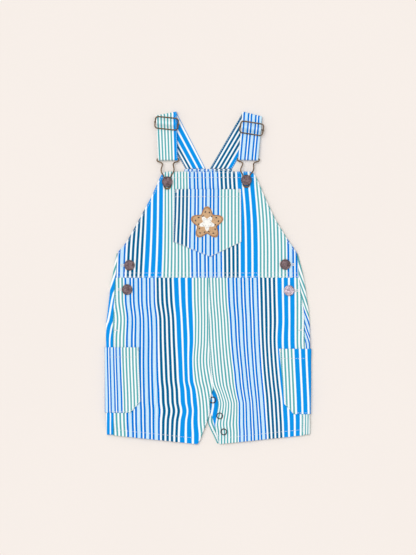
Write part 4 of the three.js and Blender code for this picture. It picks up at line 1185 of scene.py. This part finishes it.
def bib_pocket():
    left, right, corner_y = BIB_POCKET_CORNERS
    tip_x, tip_y = BIB_POCKET_TIP
    top_left, top_right, top_y = BIB_POCKET_TOP
    tip_share = (tip_x - left) / (right - left)
    half = shares((right - left) / 2)[:-len(RIM) + 1]
    half = half / half[-1]
    columns = np.concatenate([half * tip_share, 1 - (1 - tip_share) * half[::-1][1:]])
    share, down = np.meshgrid(columns, shares(MESH_ACROSS["bib_pocket"]))
    x, y = bib_pocket_point(share, down)
    from_side = np.minimum(share, 1 - share) * (right - left)
    bands = np.maximum(1 - smooth(*BIB_POCKET_HEM, top_y - y), 1 - smooth(*BIB_POCKET_SIDES, from_side))
    grid = np.dstack([x, y, bib_pocket_middle(x, y)])
    cloth = shell("bib_pocket", grid, cut_of("bib_pocket", x, y), rise=POCKET_BAND * bands, up=False)
    top = face_of(bib_pocket_middle, POCKET_BAND)
    inset = POCKET_EDGE_ROW
    rows = row_of_stitches([
        (top_left + inset, top_y), (left + inset, corner_y + inset),
        (tip_x, tip_y + POCKET_TIP_INSET * inset),
        (right - inset, corner_y + inset), (top_right - inset, top_y),
    ], top)
    rows += row_of_stitches([(x, top_y - BIB_POCKET_ROW) for x in (top_left + inset, top_right - inset)], top)
    tack_in, tack_down = POCKET_TACK
    for x in (top_left + tack_in, top_right - tack_in):
        rows += bar_tack(x, top_y - tack_down, top, tilt=90)
    sewn = sew("bib_pocket", rows)


def side_pocket_edge(side, y):
    """Distance from the garment's centre line to a side pocket's inner edge"""
    columns = SIDE_POCKET[side]
    return np.interp(y, columns["y"][::-1], columns["inner"][::-1])


def side_pocket_row(side, y):
    """One line round a side pocket: over the front, round the fold and back under the leg"""
    sign, turn_x, turn_z, radius = side_turn(side, y)
    from_top = SIDE_POCKET[side]["y"][0] - y
    inner = float(side_pocket_edge(side, y))
    length = abs(turn_x) - inner
    places = np.concatenate([RIM[:-1], np.linspace(RIM[-1], length, POCKET_LINES[0])])
    x = sign * (inner + places)
    level = np.full(len(x), float(y))
    mouth = pocket_lip(from_top, 0.5 + places / length / 2)
    front = np.column_stack([x, level, front_middle(x, level) + ON_TOP + mouth])
    angles = np.linspace(np.pi / 2, -np.pi / 2, POCKET_LINES[1])[1:-1]
    out = radius + ON_TOP + LIP_RISE / 2 * (1 - smooth(0, LIP_REACH, from_top))
    turned = np.column_stack([turn_x + sign * out * np.cos(angles), np.full(len(angles), float(y)),
                              turn_z + (radius + ON_TOP) * np.sin(angles)])
    under = np.maximum(back_middle(x[::-1], level) - ON_TOP, CLOTH / 2)
    return np.concatenate([front, turned, np.column_stack([x[::-1], level, under])])


def side_pocket(side):
    sign = SIGN[side]
    node = f"side_pocket_{side}"
    top_y, foot_y = SIDE_POCKET[side]["y"][[0, -1]]
    grid = np.stack([side_pocket_row(side, y) for y in spaced(top_y, foot_y)])
    y = grid[..., 1]
    unrolled = grid[:, :1, 0] + sign * run_along(grid, axis=1)
    bands = 1 - smooth(*SIDE_POCKET_HEM, top_y - y)
    cloth = shell(node, grid, cut_of(node, unrolled, y), rise=POCKET_BAND * bands, up=side == "right")
    inner_x = float(side_pocket_edge(side, top_y))
    turn_x = abs(side_turn(side, top_y)[1])

    def middle(px, py):
        mouth = pocket_lip(top_y - py, 0.5 + (np.abs(px) - inner_x) / (turn_x - inner_x) / 2)
        return front_middle(px, py) + ON_TOP + mouth

    top = face_of(middle, POCKET_BAND)
    edge_y = np.linspace(top_y, foot_y + 2, 40)
    edge_x = sign * (side_pocket_edge(side, edge_y) + EDGE_ROW)
    rows = row_of_stitches(np.column_stack([edge_x, edge_y]), top)
    for start_x, row_y in ((edge_x[0], top_y - SIDE_POCKET_HEM[1]), (edge_x[-1], foot_y + EDGE_ROW)):
        rows += row_of_stitches([(start_x + sign, row_y), (sign * SIDE_ROW_END, row_y)], top)
    rows += bar_tack(float(edge_x[0]), float(edge_y[0]) - SIDE_POCKET_TACK, top, tilt=90)
    sewn = sew(node, rows)
    cut_size, area = SIDE_POCKET_CUT[side]


# The straps and their hardware

def crossing(point, direction, start, end):
    ex, ey = end[0] - start[0], end[1] - start[1]
    dx, dy = direction
    t = (dx * (start[1] - point[1]) - dy * (start[0] - point[0])) / (dy * ex - dx * ey)
    return (start[0] + ex * t, start[1] + ey * t)


def unit(start, end):
    direction = np.array(end, float) - np.array(start, float)
    return direction / np.linalg.norm(direction)


def strap_lines(strap):
    """Lines across a strap with their heights, from the back's top edge to its end at the adjuster's bar"""
    fold, hook_end, back_end, bar = (np.array(strap[name])
                                     for name in ("fold", "hook_end", "back_end", "adjuster"))
    along = unit(*fold)
    outward = np.array([-along[1], along[0]])
    axis = fold - outward * (FOLD_RADIUS + STRAP / 2)
    lines = [(mix(back_end, axis, share), STRAP_BACK_Z) for share in np.linspace(0, 1, STRAP_LINES["back"])]
    for angle in np.linspace(0, np.pi, STRAP_LINES["fold"])[1:]:
        lines.append((axis + outward * FOLD_RADIUS * math.sin(angle),
                      STRAP_BACK_Z + FOLD_RADIUS * (1 - math.cos(angle))))
    tilt = math.radians(strap["tilt"])
    bar_along = (math.cos(tilt), math.sin(tilt))
    down = np.array([math.sin(tilt), -math.cos(tilt)])

    def bar_line(distance):
        middle = bar + down * distance
        return np.array([crossing(middle, bar_along, fold[i], hook_end[i]) for i in (0, 1)])

    for distance in np.linspace(-HUMP, HUMP, STRAP_LINES["hump"]):
        over = math.cos(math.pi / 2 * min(1, abs(distance) / HUMP)) ** 2
        lines.append((bar_line(distance), mix(STRAP_FRONT_Z, OVER_BAR_Z, over)))
    rail_line = bar_line(RAIL)
    lines.append((rail_line, STRAP_FRONT_Z))
    hook_along = unit(*hook_end)
    hook_down = np.array([hook_along[1], -hook_along[0]])
    hook_axis = hook_end - hook_down * (HOOK_TURN + STRAP / 2)
    for share in np.linspace(0, 1, STRAP_LINES["front"])[1:]:
        height = mix(STRAP_FRONT_Z, HOOK_BAR_Z + HOOK_TURN, float(smooth(0, 1, share)))
        lines.append((mix(rail_line, hook_axis, share), height))
    for angle in np.linspace(0, np.pi, STRAP_LINES["hook"])[1:]:
        lines.append((hook_axis + hook_down * HOOK_TURN * math.sin(angle),
                      HOOK_BAR_Z + HOOK_TURN * math.cos(angle)))
    for share in np.linspace(0, 1, STRAP_LINES["under"])[1:]:
        lines.append((mix(hook_axis, rail_line, share), STRAP_RETURN_Z))
    lines.append((bar_line(RISE_TO_BAR), mix(STRAP_RETURN_Z, BAR_Z - BAR_TURN, 0.5)))
    for angle in np.linspace(0, np.pi, STRAP_LINES["bar"]):
        lines.append((bar_line(-BAR_TURN * math.sin(angle)), BAR_Z - BAR_TURN * math.cos(angle)))
    return lines


def strap_piece(side):
    strap = STRAPS[side]
    columns = shares(MESH_ACROSS["strap"], STRAP_GRID)
    grid = np.stack([
        np.column_stack([mix(start, end, columns[:, None]), np.full(len(columns), height)])
        for (start, end), height in strap_lines(strap)
    ])
    along = run_along(grid)
    share = np.broadcast_to(columns, along.shape)
    inner, outer = (mix(*strap[cut], share) for cut in ("inner_cut", "outer_cut"))
    cloth = shell(f"strap_{side}", grid, inner, along, outer)
    normal = normals_of(grid)
    stitches = []
    run = along[:, len(columns) // 2]
    starts = np.arange(0, run[-1] - STITCH, STITCH + STITCH_GAP)
    for place in STRAP_ROWS:
        column = int(np.argmin(np.abs(columns - place)))
        for face in (1, -1):
            path = grid[:, column] + face * normal[:, column] * STRAP / 2
            for start in starts:
                ends = [[np.interp(start + offset, run, axis) for axis in path.T] for offset in (0, STITCH)]
                if ends[0][2] > LOWEST_STITCH:
                    radii = THREAD_R * np.array(STRAP_STITCH_FORM)
                    stitches.append(tube(np.linspace(*ends, 3), radii, sides=4))
    sewn = sew(f"strap_{side}", stitches)


def adjuster(side):
    strap = STRAPS[side]
    outline = []
    for sx, sy, turn in ((1, 1, 0), (-1, 1, 1), (-1, -1, 2), (1, -1, 3)):
        for angle in (turn + np.linspace(0, 1, 7)) * math.pi / 2:
            outline.append((sx * (ADJUSTER_HALF - ADJUSTER_CORNER) + ADJUSTER_CORNER * math.cos(angle),
                            sy * (RAIL - ADJUSTER_CORNER) + ADJUSTER_CORNER * math.sin(angle), 0.0))
    frame_wire = tube(outline, WIRE, sides=14, closed=True)
    reach = ADJUSTER_HALF + BAR_END
    inward, size = np.array(BAR_ROUNDING).T
    bar_x = np.concatenate([inward - reach, [0], reach - inward[::-1]])
    bar_path = np.stack(np.broadcast_arrays(bar_x, 0.0, BAR_Z - RAIL_Z), axis=1)
    bar = tube(bar_path, BAR * np.concatenate([size, [1], size[::-1]]))
    points, faces = joined([frame_wire, bar])
    tilt = math.radians(strap["tilt"])
    turned = np.column_stack([points[:, 0] * math.cos(tilt) - points[:, 1] * math.sin(tilt),
                              points[:, 0] * math.sin(tilt) + points[:, 1] * math.cos(tilt), points[:, 2]])
    turned += (*strap["adjuster"], RAIL_Z)
    make_piece(f"adjuster_{side}_wire", turned, faces, WIRE_METAL, "antique_wire",
               replaced=[f"adjuster_{side}"])


def closed_curve(points, count):
    """Smooth loop through the points, evenly divided"""
    points = np.asarray(points, float)
    dense = []
    total = len(points)
    for i in range(total):
        p0, p1, p2, p3 = (points[(i + k) % total] for k in (-1, 0, 1, 2))
        d1, d2, d3 = (max(np.linalg.norm(b - a), 1e-6) ** 0.5 for a, b in ((p0, p1), (p1, p2), (p2, p3)))
        m1 = (p1 - p0) / d1 - (p2 - p0) / (d1 + d2) + (p2 - p1) / d2
        m2 = (p2 - p1) / d2 - (p3 - p1) / (d2 + d3) + (p3 - p2) / d3
        for t in np.linspace(0, 1, 24, endpoint=False):
            dense.append((2 * t**3 - 3 * t**2 + 1) * p1 + (t**3 - 2 * t**2 + t) * m1 * d2
                         + (-2 * t**3 + 3 * t**2) * p2 + (t**3 - t**2) * m2 * d2)
    dense = np.array(dense + dense[:1])
    run = run_along(dense)
    places = np.linspace(0, run[-1], count, endpoint=False)
    return np.column_stack([np.interp(places, run, dense[:, i]) for i in range(3)])


def hook(side):
    strap = STRAPS[side]
    button_x, button_y = BIB_BUTTONS[side]
    along = unit(*strap["hook_end"])
    down = np.array([along[1], -along[0]])
    top = np.mean(strap["hook_end"], axis=0) - down * (HOOK_TURN + STRAP / 2)
    reach = top[1] - (button_y - SLOT_BELOW_BUTTON)
    across, drop = HOOK_WIRE["across"], HOOK_WIRE["down"] * reach / HOOK_LENGTH
    across = np.concatenate([[0], across, [0], -across[::-1]])
    drop = np.concatenate([[0], drop, [reach], drop[::-1]])
    share = drop / reach
    points = np.column_stack([
        mix(top[0], button_x, smooth(*HOOK_DRIFT, share)) + along[0] * across,
        top[1] - drop + along[1] * across,
        mix(HOOK_BAR_Z, HOOK_ON_BIB_Z, smooth(*HOOK_RISE, share)),
    ])
    from_slot = np.abs(np.arange(HOOK_POINTS) / HOOK_POINTS - 0.5)
    thickness = WIRE + SLOT_WEAR * (1 - smooth(0, SLOT_SHARE, from_slot))
    wire, faces = tube(closed_curve(points, HOOK_POINTS), thickness, closed=True)
    make_piece(f"hook_{side}_wire", wire, faces, WIRE_METAL, "antique_wire", replaced=[f"hook_{side}"])


def circle(radius, height=0.0):
    angles = around(CIRCLE_STEPS)
    return np.column_stack([radius * np.cos(angles), radius * np.sin(angles), np.full(CIRCLE_STEPS, height)])


def lathe(profile):
    """Points and faces of a profile of radius and height turned about its axis"""
    return np.concatenate([circle(*row) for row in profile]), ring_faces(len(profile), CIRCLE_STEPS)


def tack_button(node, x, y, post, material):
    """Post and a dished head with a rolled rim"""
    profile = [(BUTTON_POST_R, SEAM), (BUTTON_POST_R, post)]
    profile += [(radius, post + height) for radius, height in BUTTON_HEAD]
    points, faces = lathe(profile)
    base = float(front_middle(np.array(x), np.array(y))) + CLOTH / 2
    make_piece(f"{node}_metal", points + (x, y, base), faces, material, "button_metal", replaced=[node])


def snap_ring(node, x, y):
    ring, faces = tube(circle(SNAP_R), SNAP_WIRE, closed=True)
    on_placket = node == "snap_ring_1"
    cloth = BACK_Z + ON_TOP if on_placket else float(front_middle(np.array(x), np.array(y)))
    base = cloth + SOLID_CLOTH / 2 + SEAM + SNAP_WIRE
    make_piece(f"{node}_metal", ring + (x, y, base), faces, RING_METAL, "antique_wire", replaced=[node])


# The patch

def star_reach(angle):
    return STAR_RADIUS + STAR_LOBE * np.cos(STAR_ARMS * (angle - np.pi / 2))


def motif_reach(angle):
    return MOTIF_RADIUS + MOTIF_LOBE * np.cos(STAR_ARMS * (angle + np.pi / 2))


def around_star(share, count, reach=star_reach):
    angles = around(count)
    radius = reach(angles) * share
    return STAR_CENTRE + np.column_stack([radius * np.cos(angles), radius * np.sin(angles)])


pocket_top = face_of(bib_pocket_middle)
# Outline of a felt piece's rim: share of its reach and of its height
FELT_RIM = [
    (0.0, 1.0), (0.35, 1.0), (0.7, 1.0), (0.86, 0.97), (0.94, 0.88), (0.985, 0.66), (1.0, 0.3), (0.99, 0.0),
]


def felt_shape(name, reach, low, height, material, replaced=()):
    """Flat felt piece with a rounded edge on the bib pocket. reach gives its outline's radius by angle."""
    points = []
    for share, up in FELT_RIM:
        x, y = around_star(share, FELT_STEPS, reach).T
        points.append(np.column_stack([x, y, pocket_top(x, y) + low + height * up]))
    *quads, _, foot = ring_faces(len(FELT_RIM), FELT_STEPS)
    faces = [(quad[0], *quad[:0:-1]) for quad in quads] + [foot[::-1]]
    return make_piece(name, np.concatenate(points), faces, material, "patch_felt", replaced=replaced)


def star_patch():
    on_felt = STAR_THICKNESS - FELT_SINK
    patch = felt_shape("star_patch_felt", star_reach, PATCH_GAP, PATCH_HEIGHT, TAN_FELT, ["star_patch"])
    motif = felt_shape("star_patch_motif", motif_reach, on_felt, MOTIF_THICKNESS, CREAM_FELT)
    border = []
    for inner, outer in zip(*(around_star(share, BORDER_STITCHES) for share in BORDER)):
        height = float(pocket_top(*inner))
        ends = [np.array([*place, height + up]) for place, up in zip((inner, outer), BORDER_Z)]
        border.append(stitch_between(*ends, BORDER_R))
    edge = make_piece("star_patch_border", *joined(border), CARAMEL_THREAD, "patch_felt")
    running = []
    for row, reach, up in ((STAR_ROW, star_reach, on_felt), (MOTIF_ROW, motif_reach, ON_MOTIF)):
        share, count, *stitch = row
        path = around_star(share, count, reach)
        running += row_of_stitches([*path, path[0]], lambda x, y: pocket_top(x, y) + up, *stitch)
    accents = make_piece("star_patch_stitches", *joined(running), DARK_THREAD, "patch_felt")


# The scene

def studio():
    bpy.ops.mesh.primitive_plane_add(size=FLOOR_SIZE)
    floor = bpy.context.object
    floor.name = "floor"
    floor.data.materials.append(floor_paper())
    scene = bpy.context.scene
    scene.view_settings.view_transform = "Standard"
    world = bpy.data.worlds.new("studio")
    world.use_nodes = True
    background = world.node_tree.nodes["Background"]
    background.inputs["Color"].default_value = (1, 1, 1, 1)
    background.inputs["Strength"].default_value = SKY_LIGHT
    scene.world = world
    light = bpy.data.lights.new("overhead", "SUN")
    light.energy = SUN_LIGHT
    light.angle = math.radians(SUN_WIDTH)
    lamp = bpy.data.objects.new("overhead", light)
    lamp.rotation_euler = (*(math.radians(angle) for angle in SUN_TILT), 0)
    scene.collection.objects.link(lamp)
    camera = bpy.data.cameras.new("camera")
    view = bpy.data.objects.new("camera", camera)
    scene.collection.objects.link(view)
    frame_height = PHOTO_SIZE[1] * PHOTO_SCALE * MM
    camera.lens = camera.sensor_width * (CAMERA_HEIGHT - FRONT_Z * MM) / frame_height
    view.location = (float(photo_x(PHOTO_SIZE[0] / 2)) * MM,
                     (float(photo_y(PHOTO_SIZE[1] / 2)) + SHIFT_Y) * MM, CAMERA_HEIGHT)
    scene.camera = view


studio()
front_bib()
back_bib()
for side in SIGN:
    front_leg(side)
    back_leg(side)
    side_pocket(side)
    strap_piece(side)
    adjuster(side)
    hook(side)
    tack_button(f"bib_button_{side}", *BIB_BUTTONS[side], BIB_BUTTON_POST, BUTTON_METAL)
crotch_placket()
bib_pocket()
star_patch()
for node, (x, y) in SIDE_BUTTONS.items():
    metal = PALE_METAL if node == "side_button_lower_right" else BUTTON_METAL
    tack_button(node, x, y, SIDE_BUTTON_POST, metal)
for node, (x, y) in SNAP_RINGS.items():
    snap_ring(node, x, y)
